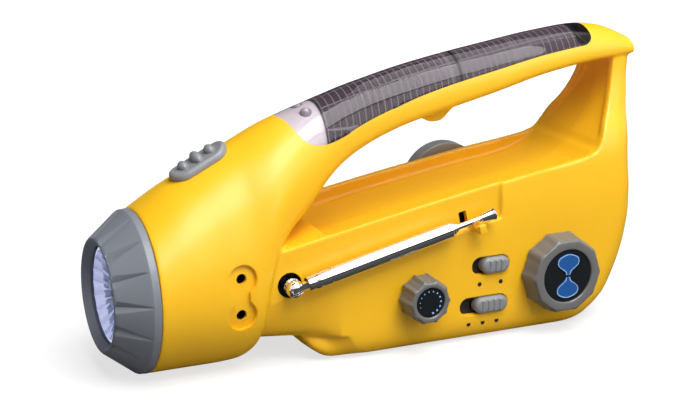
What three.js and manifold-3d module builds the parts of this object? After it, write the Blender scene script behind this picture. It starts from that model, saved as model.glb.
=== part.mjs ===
// Solar radio flashlight with a telescopic antenna and a hand crank.
// Millimetres, +Z up. While it is built, x = 0 is the barrel's front rim, y = 0 the plane where
// the two shells meet, and z = 0 the ground. The knobs are on the -Y side, the crank on +Y.
import * as THREE from 'three';
import { mergeVertices } from 'three/addons/utils/BufferGeometryUtils.js';
import Module from 'manifold-3d';

const wasm = await Module();
wasm.setup();

// Driving dimensions of the body
const bodyLength = 215;
const bodyHeight = 124;
const barrelRadius = 32;
const housingWidth = 56;
const wallThickness = 2.6;
const clearance = 0.3;
const seamGap = 0.3;
const overrun = 6;
const mergeTolerance = 0.001;
const halfHousing = housingWidth / 2;
const farOut = housingWidth;
const bodyX = share => share * bodyLength;
const bodyZ = share => share * bodyHeight;

// Bezel, lens and lamp
const bezelLength = 15.5;
const bezelTaper = 9.5;
const bezelFrontRadius = barrelRadius - bezelTaper;
const bezelBandWidth = 3.4;
const bezelRimWidth = 1.7;
const bezelWall = 3.2;
const bezelGrooveCount = 15;
const bezelGrooveWidth = 5.6;
const bezelGrooveDepth = 1.5;
const spigotLength = 4;
const spigotInset = 3.5;
const spigotRadius = barrelRadius - spigotInset;
const spigotWall = 2.7;
const lampBoreRadius = spigotRadius - spigotWall;
const lampBoreDepth = 9.6;
const rearBoreStep = 6.8;
const rearBoreRadius = lampBoreRadius - rearBoreStep;
const rearBoreDepth = 30;
const lensThickness = 2;
const lensSetback = 3.2;
const lensInset = 1.9;
const lensRadius = bezelFrontRadius - lensInset;
const reflectorNeckRadius = 10;
const reflectorWall = 1.2;
const lampBoardThickness = 1.6;
const lampBulbCount = 5;
const lampBulbRadius = 2.5;
const lampBulbLength = 7.5;
const lampBulbCircle = 5.8;

// Solar window, cells and charge lamps
const handleHalfShare = 0.422;
const windowSideMargin = 1.7;
const windowHalfWidth = handleHalfShare * barrelRadius - windowSideMargin;
const windowThickness = 2;
const windowEndShares = [0.265, 0.907];
const [windowFrontX, windowRearX] = windowEndShares.map(bodyX);
const windowNoseLength = 13;
const windowLedgeWidth = 2;
const windowCornerRadius = 4;
const cellThickness = 1.6;
const cellGap = 2;
const cellShares = [0.363, 0.623, 0.874];
const [cellFrontX, cellBendX, cellRearX] = cellShares.map(bodyX);
const chargeBulbRadius = 2.1;
const chargeBulbHeight = 4.2;
const chargeBulbSpread = 3.8;
const chargeBulbShare = 0.323;
const chargeBulbX = bodyX(chargeBulbShare);

// Head switch
const switchLength = 25;
const switchWidth = 13.5;
const switchHeight = 3;
const switchShare = 0.123;
const switchX = bodyX(switchShare);
const switchTravel = 3.5;
const switchStemWidth = 4;
const switchStemLength = 6;
const switchStemDepth = 6;
const switchPipRadius = 1.5;
const switchPipPitch = 5.4;
const switchBodyLength = 13;
const switchBodyWidth = 8;
const switchBodyHeight = 5;

// Places on the housing are x shares of bodyLength and z shares of bodyHeight.
const placeOf = ([x, z]) => [bodyX(x), bodyZ(z)];

// Volume and tuning controls on the knob side
const volumeShares = [0.503, 0.190];
const [volumeX, volumeZ] = placeOf(volumeShares);
const volumeBaseRadius = 9.7;
const volumeFaceRadius = 8.7;
const volumeDialRadius = 6.2;
const volumeHeight = 10;
const volumeLobes = 10;
const tuningShares = [0.797, 0.210];
const [tuningX, tuningZ] = placeOf(tuningShares);
const tuningBaseRadius = 17;
const tuningFaceRadius = 15.4;
const tuningDialRadius = 11.2;
const tuningHeight = 9.4;
const tuningLobes = 10;
const lobeDepth = 0.9;
const edgeRound = 1.2;
const dialSetback = 0.7;
const dialThickness = 1.4;
const stemRadius = 3;
const tuningStemRadius = 4.6;
const tuningPostRadius = 2.7;
const potRadius = 6.5;
const keyHalfWidth = 5.1;
const keySplit = 0.75;
const keyReach = 9.4;
const keyTravel = 0.8;
const keyProud = 0.5;
const keyPlay = 0.4;
const keyFlange = 0.5;
const keyFlangeThickness = 1;
const cupWall = 0.7;
const cupFloor = 1.2;

// Slide switches on the knob side
const upperSlotShares = [0.652, 0.260];
const [upperSlotX, upperSlotZ] = placeOf(upperSlotShares);
const upperSlotLength = 17;
const upperSliderLength = 12.6;
const lowerSlotShares = [0.639, 0.126];
const [lowerSlotX, lowerSlotZ] = placeOf(lowerSlotShares);
const lowerSlotLength = 21.8;
const lowerSliderLength = 15;
const slotHeight = 7.4;
const sliderProud = 2.4;
const sliderRibRadius = 0.8;
const sliderRibPitch = 2.6;
const sliderStemWidth = 3;
const sliderStemReach = 1.9;
const dotRadius = 0.7;
const dotDepth = 0.4;
const dotDrop = 7.6;
const upperDotPitch = 9.8;
const lowerDotPitch = 6.5;

// Jacks near the head's rear edge
const upperJackShares = [0.149, 0.331];
const [jackX, jackUpperZ] = placeOf(upperJackShares);
const jackPitch = 14.3;
const jackLowerZ = jackUpperZ - jackPitch;
const jackHoleRadius = 2.1;
const jackBarrelRadius = 3.8;
const jackLength = 7;
const jackSeatInset = 4.6;
const jackSeatY = barrelRadius - jackSeatInset;
const jackLobeRadius = 5.6;
const jackWaistHalf = 3;
const jackRecessDepth = 0.7;

// Antenna
const pivotShares = [0.247, 0.281];
const [pivotX, pivotZ] = placeOf(pivotShares);
const antennaRise = 13 * THREE.MathUtils.DEG2RAD;
const antennaRadius = 3.25;
const antennaWall = 0.4;
const antennaStart = 5.2;
const antennaLength = 63.3;
const antennaPlug = 6;
const antennaShow = 1.4;
const antennaSectionGap = 2;
const antennaRodEnd = 82.5;
const antennaTipLength = 6;
const antennaTipRadius = 2.7;
const antennaOffset = halfHousing + clearance + antennaTipRadius;
const collarLength = 3.2;
const collarDepth = 0.3;
const grooveWidth = 0.6;
const groovePitch = 4.8;
const pivotBallRadius = 3.5;
const pivotSlotHalf = 1.5;
const pivotTongueRadius = 2.2;
const pivotStemRadius = 2.2;
const pivotPinRadius = 0.8;
const pivotRecessRadius = 5;
const pivotRecessDepth = 6.3;
const pivotStemLength = 9;
const pivotWall = 3.4;
const restPegWidth = 3;
const restPegDrop = 3.6;
const restPegLip = 1.2;
const restSlotWidth = 3.4;
const antennaRecessDepth = 2.25;
const antennaRecessMargin = 1.1;
const antennaRecessEnd = 93;

// Crank, gear train and generator on the far side
const crankShares = [0.693, 0.415];
const [crankX, crankZ] = placeOf(crankShares);
const crankHubRadius = 18;
const crankHubHeight = 7.5;
const crankHubRound = 1.5;
const crankArmLength = 43;
const crankArmWidth = 16;
const crankArmBase = 0.4;
const crankArmHeight = 8;
const crankArmAngle = 162 * THREE.MathUtils.DEG2RAD;
const crankShaftRadius = 2.6;
const crankShaftSeat = 5;
const crankCapRadius = 8;
const crankCapThickness = 1.4;
const gripRadius = 4.8;
const gripLength = 22;
const gripHeight = 5.4;
const gripBore = 2.1;
const gripHeadRadius = 2.9;
const gripHeadLength = 1.1;
const gripEyeRadius = 4.2;
const gripEyeHalf = 4.5;
const gripPinRadius = 1.2;
const gearModule = 0.8;
const crankGearTeeth = 14;
const idlerPinionTeeth = 12;
const idlerGearTeeth = 30;
const rotorPinionTeeth = 10;
const gearWidth = 4;
const gearBacklash = 0.62;
const idlerBearing = 244 * THREE.MathUtils.DEG2RAD;
const rotorBearing = 200 * THREE.MathUtils.DEG2RAD;
const gearLayerInset = 12.5;
const gearLayerY = halfHousing - gearLayerInset;
const gearPlateThickness = 1.6;
const gearPlateMargin = 5;
const gearShaftRadius = 1.5;
const dynamoRadius = 12;
const dynamoLength = 15;
const dynamoWall = 1.2;

// Speaker, battery and circuit board
const speakerShares = [0.833, 0.266];
const [speakerX, speakerZ] = placeOf(speakerShares);
const speakerRadius = 16.5;
const speakerDepth = 5.4;
const speakerRim = 1.9;
const speakerSkin = 1.2;
const coneDepth = 3;
const coneThickness = 0.7;
const dustCapRadius = 3.6;
const magnetRadius = 8.7;
const magnetDepth = 6.2;
const grilleSlotCount = 7;
const grilleSlotWidth = 1.6;
const grilleSlotPitch = 3.8;
const batteryCellRadius = 5.5;
const batteryCellGap = 0.4;
const batteryCellLength = 30;
const batteryCellCount = 2;
const batteryWeb = 3;
const shelfThickness = 1.6;
const batteryShares = [0.447, 0.210];
const [batteryX, batteryZ] = placeOf(batteryShares);
const batteryInset = 11;
const batteryY = halfHousing - batteryInset;
const doorThickness = 2;
const doorLength = 42;
const doorHeight = 28;
const doorCornerRadius = 3;
const doorLedge = 2;
const doorTab = 8;
const doorFrameDepth = 5.1;
const doorScrewRadius = 1.2;
const doorScrewHeadRadius = 2.3;
const doorScrewHeadHeight = 1;
const doorScrewLength = 3.6;
const boardInset = 9;
const boardY = halfHousing - boardInset;
const boardThickness = 1.6;
const boardLowShares = [0.372, 0.100];
const boardHighShares = [0.884, 0.339];
const [boardFrontX, boardLowZ] = placeOf(boardLowShares);
const [boardRearX, boardHighZ] = placeOf(boardHighShares);

// Case screws, put in from the far side
const screwRadius = 1.3;
const screwHeadRadius = 2.6;
const screwHeadHeight = 1.8;
const screwSeatY = 6.2;
const screwReach = 8;
const screwBossRadius = 3.4;

// Housing cavity and finger bump
const cavityShares = [0.298, 0.926];
const [cavityFrontX, cavityRearX] = cavityShares.map(bodyX);
const troughLip = 3.6;
const bumpHalfWidth = 8.5;

// Facet counts
const sectionFacets = 24;
const barrelFacets = 32;
const roundFacets = 20;
const smallFacets = 12;
const cornerFacets = 4;
const lobeFacets = 4;

// The head and handle are one swept form. Each row is a tilted section, from its lowest to its
// highest point: bottom x, bottom z, top x, top z, half width, level of the widest point, and the
// powers of the upper and lower halves. x are shares of bodyLength, z of bodyHeight, half widths
// of barrelRadius.
const sweepShares = [
  [0.056, 0.000, 0.051, 0.576, 1.000, 0.46, 2.0, 2.0],
  [0.112, 0.002, 0.100, 0.623, 0.988, 0.43, 2.0, 2.0],
  [0.158, 0.016, 0.140, 0.659, 0.972, 0.42, 2.0, 2.1],
  [0.191, 0.069, 0.172, 0.687, 0.950, 0.40, 2.0, 2.1],
  [0.204, 0.161, 0.200, 0.711, 0.912, 0.40, 2.0, 2.1],
  [0.216, 0.258, 0.228, 0.734, 0.863, 0.39, 2.0, 2.1],
  [0.237, 0.347, 0.256, 0.756, 0.787, 0.38, 2.0, 2.2],
  [0.267, 0.415, 0.284, 0.775, 0.706, 0.36, 2.0, 2.3],
  [0.300, 0.464, 0.312, 0.793, 0.625, 0.33, 2.0, 2.4],
  [0.328, 0.515, 0.340, 0.810, 0.550, 0.30, 2.0, 2.5],
  [0.358, 0.573, 0.370, 0.827, 0.487, 0.27, 2.0, 2.6],
  [0.395, 0.625, 0.407, 0.847, 0.447, 0.25, 2.0, 2.8],
  [0.447, 0.674, 0.456, 0.869, 0.425, 0.23, 2.0, 3.0],
  [0.512, 0.715, 0.516, 0.894, 0.422, 0.22, 2.0, 3.0],
  [0.595, 0.750, 0.600, 0.922, 0.422, 0.22, 2.0, 3.0],
  [0.698, 0.792, 0.702, 0.950, 0.422, 0.22, 2.0, 3.0],
  [0.800, 0.838, 0.805, 0.976, 0.422, 0.22, 2.0, 3.0],
  [0.893, 0.866, 0.895, 0.990, 0.422, 0.22, 2.0, 3.0],
  [0.949, 0.877, 0.949, 0.980, 0.419, 0.22, 2.1, 3.0],
  [1.000, 0.887, 1.000, 0.944, 0.412, 0.30, 2.6, 3.0],
];
// Level outlines of the radio housing and rear post, from the ground up: z as a share of
// bodyHeight, front x and rear x of bodyLength, half width and rear corner radius of half the
// housingWidth, and the front end's half width as a share of the level's own.
const levelShares = [
  [0.000, 0.344, 0.847, 0.679, 0.357, 0.92],
  [0.010, 0.323, 0.874, 0.832, 0.429, 0.92],
  [0.026, 0.308, 0.893, 0.918, 0.464, 0.90],
  [0.048, 0.293, 0.908, 0.968, 0.500, 0.86],
  [0.070, 0.284, 0.921, 0.989, 0.500, 0.80],
  [0.088, 0.274, 0.930, 0.996, 0.500, 0.72],
  [0.095, 0.177, 0.934, 0.998, 0.500, 0.58],
  [0.115, 0.177, 0.941, 1.000, 0.500, 0.73],
  [0.150, 0.177, 0.951, 1.000, 0.500, 0.83],
  [0.200, 0.177, 0.963, 1.000, 0.500, 0.90],
  [0.260, 0.177, 0.974, 1.000, 0.500, 0.94],
  [0.320, 0.177, 0.981, 1.000, 0.500, 0.94],
  [0.379, 0.177, 0.985, 1.000, 0.500, 0.94],
  [0.452, 0.177, 0.984, 0.993, 0.482, 0.94],
  [0.516, 0.177, 0.981, 0.971, 0.464, 0.94],
  [0.581, 0.177, 0.979, 0.936, 0.429, 0.94],
  [0.645, 0.177, 0.980, 0.857, 0.375, 0.94],
  [0.718, 0.177, 0.986, 0.664, 0.304, 0.94],
  [0.774, 0.177, 0.991, 0.557, 0.250, 0.94],
  [0.831, 0.177, 0.993, 0.486, 0.214, 0.94],
  [0.887, 0.177, 0.995, 0.450, 0.161, 0.94],
  [0.919, 0.177, 0.995, 0.436, 0.143, 0.94],
];
// Upper edge of the housing's two lips, running up the rear post, as x and z shares.
const lipShares = [
  [0.177, 0.373], [0.279, 0.408], [0.419, 0.455], [0.558, 0.498], [0.698, 0.538], [0.865, 0.582],
  [0.886, 0.599], [0.898, 0.629], [0.910, 0.673], [0.927, 0.726], [0.944, 0.806], [0.954, 0.900],
];
// Floor of the trough between the lips, with its wide curve up the post.
const troughShares = [
  [0.326, 0.379], [0.419, 0.410], [0.558, 0.454], [0.698, 0.494], [0.809, 0.524], [0.856, 0.556],
  [0.893, 0.617], [0.926, 0.698], [0.953, 0.798], [0.967, 0.900],
];
// Finger bump under the handle, as x and z shares.
const bumpShares = [[0.540, 0.745], [0.556, 0.727], [0.570, 0.715], [0.588, 0.717], [0.622, 0.770]];
// Case screws, as x and z shares.
const screwShares = [
  [0.258, 0.170], [0.558, 0.068], [0.884, 0.068], [0.954, 0.600], [0.955, 0.915],
];
// Outline of a tuning key from the waist outward: how far out as a share of keyReach, and half
// width as a share of keyHalfWidth.
const keyShares = [
  [0.08, 0.22], [0.18, 0.27], [0.28, 0.44], [0.38, 0.68], [0.48, 0.88], [0.58, 0.98], [0.68, 1.00],
  [0.78, 0.93], [0.88, 0.73], [0.96, 0.42],
];
// Where along the front end's run, as a share of it, the side's points lie, and how far each
// has widened: the first two as shares of the front half width, the rest from it to the full.
const frontRunShares = [0, 0.06, 0.22, 0.53, 1];
const frontWidthShares = [0.5, 0.9];
const frontSwellShares = [0, 0.25, 1];
const swellEndShare = 0.345;
const shortRunShare = 0.084;
// How far up each section of the handle the cells' floor, the window's ledge and the window's
// lower edge lie.
const cellFloorShare = 0.33;
const windowLedgeShare = 0.55;
const windowEdgeShare = 0.57;
const windowStationShare = 0.25;

// Solids and meshes

function signedVolume(positions, index) {
  const [a, b, c] = [new THREE.Vector3(), new THREE.Vector3(), new THREE.Vector3()];
  let volume = 0;
  for (let i = 0; i < index.length; i += 3) {
    a.fromArray(positions, 3 * index[i]);
    b.fromArray(positions, 3 * index[i + 1]);
    c.fromArray(positions, 3 * index[i + 2]);
    volume += a.dot(b.cross(c));
  }
  return volume;
}

// Joins a geometry's vertices, drops its collapsed triangles, and turns it into a solid.
function solidOf(geometry) {
  const bare = geometry.clone();
  bare.deleteAttribute('normal');
  bare.deleteAttribute('uv');
  const merged = mergeVertices(bare, mergeTolerance);
  const positions = merged.attributes.position.array;
  const kept = [];
  const index = merged.index.array;
  for (let i = 0; i < index.length; i += 3) {
    const [p, q, r] = [index[i], index[i + 1], index[i + 2]];
    if (p !== q && q !== r && r !== p) kept.push(p, q, r);
  }
  if (signedVolume(positions, kept) < 0) kept.reverse();
  const triVerts = Uint32Array.from(kept);
  return new wasm.Manifold(new wasm.Mesh({ numProp: 3, vertProperties: positions, triVerts }));
}

function geometryOf(solid) {
  const mesh = solid.getMesh();
  const geometry = new THREE.BufferGeometry();
  const positions = new Float32Array(mesh.numVert * 3);
  for (let i = 0; i < mesh.numVert; i++) {
    for (let k = 0; k < 3; k++) positions[3 * i + k] = mesh.vertProperties[mesh.numProp * i + k];
  }
  geometry.setAttribute('position', new THREE.BufferAttribute(positions, 3));
  geometry.setIndex(new THREE.BufferAttribute(Uint32Array.from(mesh.triVerts), 1));
  return geometry;
}

const joined = solids => solids.reduce((sum, solid) => sum.add(solid));
const without = (solid, cutters) => cutters.reduce((rest, cutter) => rest.subtract(cutter), solid);

const finishes = {
  shell: { color: 0xf6cf1c, roughness: 0.28, metalness: 0 },
  bezel: { color: 0x74767c, roughness: 0.4, metalness: 0 },
  knob: { color: 0x85817b, roughness: 0.45, metalness: 0 },
  chrome: { color: 0xd8d8dc, roughness: 0.12, metalness: 1 },
  steel: { color: 0x9a9a9c, roughness: 0.35, metalness: 1 },
  dial: { color: 0x14151a, roughness: 0.2, metalness: 0 },
  key: { color: 0x1c5fae, roughness: 0.35, metalness: 0 },
  clear: { color: 0xdfe4ea, roughness: 0.05, metalness: 0, transparent: true, opacity: 0.35 },
  cell: { color: 0x2c2a33, roughness: 0.25, metalness: 0.1 },
  bulb: { color: 0xeef2ff, roughness: 0.1, metalness: 0 },
  black: { color: 0x17171a, roughness: 0.55, metalness: 0 },
  board: { color: 0x1f6a3c, roughness: 0.5, metalness: 0 },
  gear: { color: 0xe9e6da, roughness: 0.5, metalness: 0 },
  cone: { color: 0x2b2b2d, roughness: 0.85, metalness: 0 },
};

function piece(name, solid, finish) {
  const mesh = new THREE.Mesh(geometryOf(solid), new THREE.MeshStandardMaterial(finishes[finish]));
  mesh.name = name;
  return mesh;
}

// Closed form through rings of points that all have the same count, with flat ends.
function loft(rings) {
  const count = rings[0].length;
  const positions = [];
  const index = [];
  rings.forEach(ring => ring.forEach(point => positions.push(point.x, point.y, point.z)));
  for (let i = 0; i + 1 < rings.length; i++) {
    for (let k = 0; k < count; k++) {
      const [a, b] = [i * count + k, i * count + (k + 1) % count];
      index.push(a, b, b + count, a, b + count, a + count);
    }
  }
  for (const [ring, start] of [[rings[0], 0], [rings.at(-1), (rings.length - 1) * count]]) {
    const middle = new THREE.Vector3();
    ring.forEach(point => middle.addScaledVector(point, 1 / count));
    const centre = positions.length / 3;
    positions.push(middle.x, middle.y, middle.z);
    for (let k = 0; k < count; k++) {
      const [a, b] = [start + k, start + (k + 1) % count];
      if (start === 0) index.push(centre, b, a);
      else index.push(centre, a, b);
    }
  }
  const geometry = new THREE.BufferGeometry();
  geometry.setAttribute('position', new THREE.Float32BufferAttribute(positions, 3));
  geometry.setIndex(index);
  return solidOf(geometry);
}

const shapeOf = points => new THREE.Shape(points.map(([u, v]) => new THREE.Vector2(u, v)));

function extrusion(shape, depth, facets = 2 * cornerFacets) {
  return new THREE.ExtrudeGeometry(shape, { depth, bevelEnabled: false, curveSegments: facets });
}

// Side view outline in x and z, carried from yLow to yHigh.
function sidePrism(shape, yLow, yHigh, facets) {
  const slab = extrusion(shape, yHigh - yLow, facets);
  return solidOf(slab.rotateX(Math.PI / 2).translate(0, yHigh, 0));
}

// Plan outline in x and y, carried from zLow to zHigh.
function planPrism(shape, zLow, zHigh, facets) {
  return solidOf(extrusion(shape, zHigh - zLow, facets).translate(0, 0, zLow));
}

function block(xLow, xHigh, yLow, yHigh, zLow, zHigh) {
  const geometry = new THREE.BoxGeometry(xHigh - xLow, yHigh - yLow, zHigh - zLow);
  geometry.translate((xLow + xHigh) / 2, (yLow + yHigh) / 2, (zLow + zHigh) / 2);
  return solidOf(geometry);
}

function rodY(x, z, radius, yLow, yHigh, facets = smallFacets) {
  const geometry = new THREE.CylinderGeometry(radius, radius, yHigh - yLow, facets);
  return solidOf(geometry.translate(x, (yLow + yHigh) / 2, z));
}

function rodX(radius, xLow, xHigh, z = 0, facets = smallFacets) {
  const geometry = new THREE.CylinderGeometry(radius, radius, xHigh - xLow, facets);
  return solidOf(geometry.rotateZ(-Math.PI / 2).translate((xLow + xHigh) / 2, 0, z));
}

function rodZ(x, radius, zLow, zHigh, facets = smallFacets) {
  const geometry = new THREE.CylinderGeometry(radius, radius, zHigh - zLow, facets);
  return solidOf(geometry.rotateX(Math.PI / 2).translate(x, 0, (zLow + zHigh) / 2));
}

// Revolves a closed profile of [x, radius] points about the x direction at height z.
function revolveX(profile, z, facets) {
  const points = profile.map(([x, radius]) => new THREE.Vector2(radius, x));
  points.push(points[0].clone());
  return solidOf(new THREE.LatheGeometry(points, facets).rotateZ(-Math.PI / 2).translate(0, 0, z));
}

// Revolves a closed profile of [radius, y] points about the y direction.
function revolveY(profile, x, z, facets) {
  const points = profile.map(([radius, y]) => new THREE.Vector2(radius, y));
  points.push(points[0].clone());
  return solidOf(new THREE.LatheGeometry(points, facets).translate(x, 0, z));
}

function stadium(x, z, length, height) {
  const shape = new THREE.Shape();
  const radius = height / 2;
  const reach = length / 2 - radius;
  shape.absarc(x + reach, z, radius, -Math.PI / 2, Math.PI / 2, false);
  shape.absarc(x - reach, z, radius, Math.PI / 2, 3 * Math.PI / 2, false);
  return shape;
}

function roundedRectangle(x, z, length, height, radius) {
  const [u, v] = [length / 2 - radius, height / 2 - radius];
  const shape = new THREE.Shape();
  shape.absarc(x + u, z + v, radius, 0, Math.PI / 2, false);
  shape.absarc(x - u, z + v, radius, Math.PI / 2, Math.PI, false);
  shape.absarc(x - u, z - v, radius, Math.PI, 3 * Math.PI / 2, false);
  shape.absarc(x + u, z - v, radius, 3 * Math.PI / 2, 2 * Math.PI, false);
  return shape;
}

// Sections of the swept head and handle

const barrelSection = {
  bottom: new THREE.Vector3(0, 0, 0),
  top: new THREE.Vector3(0, 0, 2 * barrelRadius),
  half: barrelRadius,
  level: 1 / 2,
  upper: 2,
  lower: 2,
};

const sections = [barrelSection].concat(sweepShares.map(row => ({
  bottom: new THREE.Vector3(bodyX(row[0]), 0, bodyZ(row[1])),
  top: new THREE.Vector3(bodyX(row[2]), 0, bodyZ(row[3])),
  half: row[4] * barrelRadius,
  level: row[5],
  upper: row[6],
  lower: row[7],
})));

function sectionRing(section, inset) {
  const up = section.top.clone().sub(section.bottom).normalize();
  const height = section.top.distanceTo(section.bottom) - 2 * inset;
  const half = section.half - inset;
  const ring = [];
  for (let k = 0; k < sectionFacets; k++) {
    const angle = 2 * Math.PI * k / sectionFacets;
    const [across, rise] = [Math.cos(angle), Math.sin(angle)];
    const power = rise >= 0 ? section.upper : section.lower;
    const reach = (rise >= 0 ? 1 - section.level : section.level) * height;
    const y = half * Math.sign(across) * Math.abs(across) ** (2 / power);
    const along = section.level * height + reach * Math.sign(rise) * Math.abs(rise) ** (2 / power);
    const point = section.bottom.clone().addScaledVector(up, inset + along);
    point.y = y;
    ring.push(point);
  }
  return ring;
}

const sweptForm = inset => loft(sections.map(section => sectionRing(section, inset)));

// Height of the top line at x, and its slope.
function topLine(x) {
  const tops = sections.map(section => section.top);
  const i = Math.max(tops.findIndex(top => top.x >= x), 1);
  const [before, after] = [tops[i - 1], tops[i]];
  const slope = (after.z - before.z) / (after.x - before.x);
  return { z: before.z + slope * (x - before.x), slope };
}

// Side view of everything above a level of the sections from the window's front to the rear.
function aboveLevel(levelShare) {
  const rows = sections.filter(section => section.top.x > windowStationShare * bodyLength);
  const line = rows.map(section => section.bottom.clone().lerp(section.top, levelShare));
  const roof = bodyHeight + overrun;
  const points = line.map(point => [point.x, point.z]);
  const [first, last] = [points[0], points.at(-1)];
  points.unshift([first[0] - overrun, first[1]]);
  points.push([last[0] + overrun, last[1]]);
  points.push([last[0] + overrun, roof], [first[0] - overrun, roof]);
  return sidePrism(shapeOf(points), -barrelRadius, barrelRadius);
}

// Levels of the housing

function levelRing(row, inset) {
  const z = bodyZ(row[0]);
  const [xFront, xRear] = [bodyX(row[1]) + inset, bodyX(row[2]) - inset];
  const half = row[3] * halfHousing - inset;
  const waist = row[5] * half;
  const corner = Math.max(Math.min(row[4] * halfHousing - inset, half), clearance);
  const run = Math.max(bodyX(swellEndShare) - xFront, bodyX(shortRunShare));
  const widths = [
    ...frontWidthShares.map(share => share * waist),
    ...frontSwellShares.map(share => waist + share * (half - waist)),
  ];
  const side = frontRunShares.map((share, k) => [xFront + share * run, -widths[k]]);
  for (let k = 0; k <= cornerFacets; k++) {
    const angle = k / cornerFacets * Math.PI / 2;
    side.push([xRear - corner + corner * Math.sin(angle), corner - half - corner * Math.cos(angle)]);
  }
  const back = side.map(([x, y]) => [x, -y]).reverse();
  return side.concat(back).map(([x, y]) => new THREE.Vector3(x, y, z));
}

const housingForm = (inset, rows = levelShares) => loft(rows.map(row => levelRing(row, inset)));
const innerLevelShares = levelShares.filter((row, k) => k % 2 === 0);

function outlineUnder(lineShares) {
  const points = lineShares.map(([x, z]) => [bodyX(x), bodyZ(z)]);
  const [first, last] = [points[0], points.at(-1)];
  const rear = bodyLength + overrun;
  points.push([last[0], bodyHeight + overrun], [rear, bodyHeight + overrun], [rear, -overrun]);
  points.push([first[0], -overrun]);
  return shapeOf(points);
}

function outlineOver(lineShares) {
  const points = lineShares.map(([x, z]) => [bodyX(x), bodyZ(z)]);
  const [first, last] = [points[0], points.at(-1)];
  points.push([last[0], bodyHeight + overrun], [first[0], bodyHeight + overrun]);
  return shapeOf(points);
}

// Housing, lips, trough and rear post as one closed form.
function housing() {
  const kept = housingForm(0).intersect(sidePrism(outlineUnder(lipShares), -farOut, farOut));
  const troughRoom = sidePrism(outlineOver(troughShares), -farOut, farOut);
  return kept.subtract(housingForm(troughLip).intersect(troughRoom));
}

function fingerBump() {
  const points = bumpShares.map(([x, z]) => [bodyX(x), bodyZ(z)]);
  return sidePrism(shapeOf(points), -bumpHalfWidth, bumpHalfWidth);
}

// Folded antenna in side view, along and across its tilted axis.
function antennaPoint(along, across) {
  const [c, s] = [Math.cos(antennaRise), Math.sin(antennaRise)];
  return [pivotX + along * c - across * s, pivotZ + along * s + across * c];
}

const antennaRecessY = halfHousing - antennaRecessDepth;

function antennaOutline(grow) {
  const low = -(antennaRadius + antennaRecessMargin + grow);
  const points = [antennaPoint(-grow, low), antennaPoint(antennaRecessEnd + grow, low)];
  const roof = bodyHeight * troughShares.at(-1)[1];
  points.push([points[1][0], roof], [points[0][0], roof]);
  return shapeOf(points);
}

// Cuts and seats that both shells share

const doorPlan = (grow, tab = 0) => roundedRectangle(
  batteryX - tab / 2, batteryZ, doorLength + 2 * grow - tab, doorHeight + 2 * grow, doorCornerRadius + grow);

const screwSites = screwShares.map(([x, z]) => [bodyX(x), bodyZ(z)]);

// Room inside the housing, less the thick walls behind the antenna and round the battery door,
// and the bosses of the case screws.
function housingCavity() {
  const line = troughShares.map(([x, z]) => [bodyX(x), bodyZ(z) - wallThickness]);
  const ceiling = line.filter(([x]) => x > cavityFrontX && x < cavityRearX - wallThickness);
  const points = [[cavityFrontX, ceiling[0][1]], ...ceiling, [cavityRearX, ceiling.at(-1)[1]]];
  points.push([cavityRearX, wallThickness], [cavityFrontX + overrun, wallThickness]);
  points.push([cavityFrontX, wallThickness + overrun]);
  const inside = housingForm(wallThickness, innerLevelShares);
  const room = inside.intersect(sidePrism(shapeOf(points), -farOut, farOut));
  const thickY = antennaRecessY - wallThickness;
  const antennaWallBlock = sidePrism(antennaOutline(wallThickness), -farOut, -thickY);
  const doorFrame = sidePrism(doorPlan(wallThickness), halfHousing - doorFrameDepth, farOut);
  const bosses = screwSites.map(([x, z]) => rodY(x, z, screwBossRadius, -farOut, farOut));
  return without(room, [antennaWallBlock, doorFrame, ...bosses]);
}

function lampBores() {
  const front = rodX(lampBoreRadius, -spigotLength - overrun, lampBoreDepth, barrelRadius, barrelFacets);
  return front.add(rodX(rearBoreRadius, 0, rearBoreDepth, barrelRadius, roundFacets));
}

const spigot = () => rodX(spigotRadius, -spigotLength, overrun, barrelRadius, barrelFacets);

// Plan outline of the window, with a long rounded nose at the front.
function windowPlan(grow) {
  const half = windowHalfWidth + grow;
  const [nose, rear] = [windowFrontX - grow, windowRearX + grow];
  const shoulder = nose + windowNoseLength;
  const corner = windowCornerRadius;
  const shape = new THREE.Shape();
  shape.moveTo(shoulder, -half);
  shape.lineTo(rear - corner, -half);
  shape.absarc(rear - corner, corner - half, corner, -Math.PI / 2, 0, false);
  shape.absarc(rear - corner, half - corner, corner, 0, Math.PI / 2, false);
  shape.lineTo(shoulder, half);
  shape.bezierCurveTo(nose + windowNoseLength / 3, half, nose, half / 2, nose, 0);
  shape.bezierCurveTo(nose, -half / 2, nose + windowNoseLength / 3, -half, shoulder, -half);
  return shape;
}

const windowPrism = grow => planPrism(windowPlan(grow), 0, bodyHeight + overrun, cornerFacets);

function windowPocket() {
  const ledge = windowPrism(clearance).intersect(aboveLevel(windowLedgeShare));
  return ledge.add(windowPrism(-windowLedgeWidth).intersect(aboveLevel(cellFloorShare)));
}

// Moves a solid built about the origin onto the head's top line, tilted with it.
function onTopLine(solid) {
  const { z, slope } = topLine(switchX);
  const tilt = new THREE.Matrix4().makeRotationY(-Math.atan(slope));
  tilt.setPosition(switchX, 0, z);
  return solid.transform(tilt.elements);
}

function switchBodyBlock(grow) {
  const [long, wide] = [switchBodyLength / 2 + grow, switchBodyWidth / 2 + grow];
  const high = grow - switchStemDepth;
  const middle = -switchTravel / 2;
  return block(middle - long, middle + long, -wide, wide, high - switchBodyHeight - 2 * grow, high);
}

function switchSlot() {
  const half = switchStemWidth / 2 + clearance;
  const long = switchStemLength / 2 + clearance;
  const slot = block(-long - switchTravel, long, -half, half, -switchStemDepth - clearance, overrun);
  const drop = block(-long, long, -half, half, -barrelRadius, -switchStemDepth);
  return onTopLine(joined([slot, switchBodyBlock(clearance), drop]));
}

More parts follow.
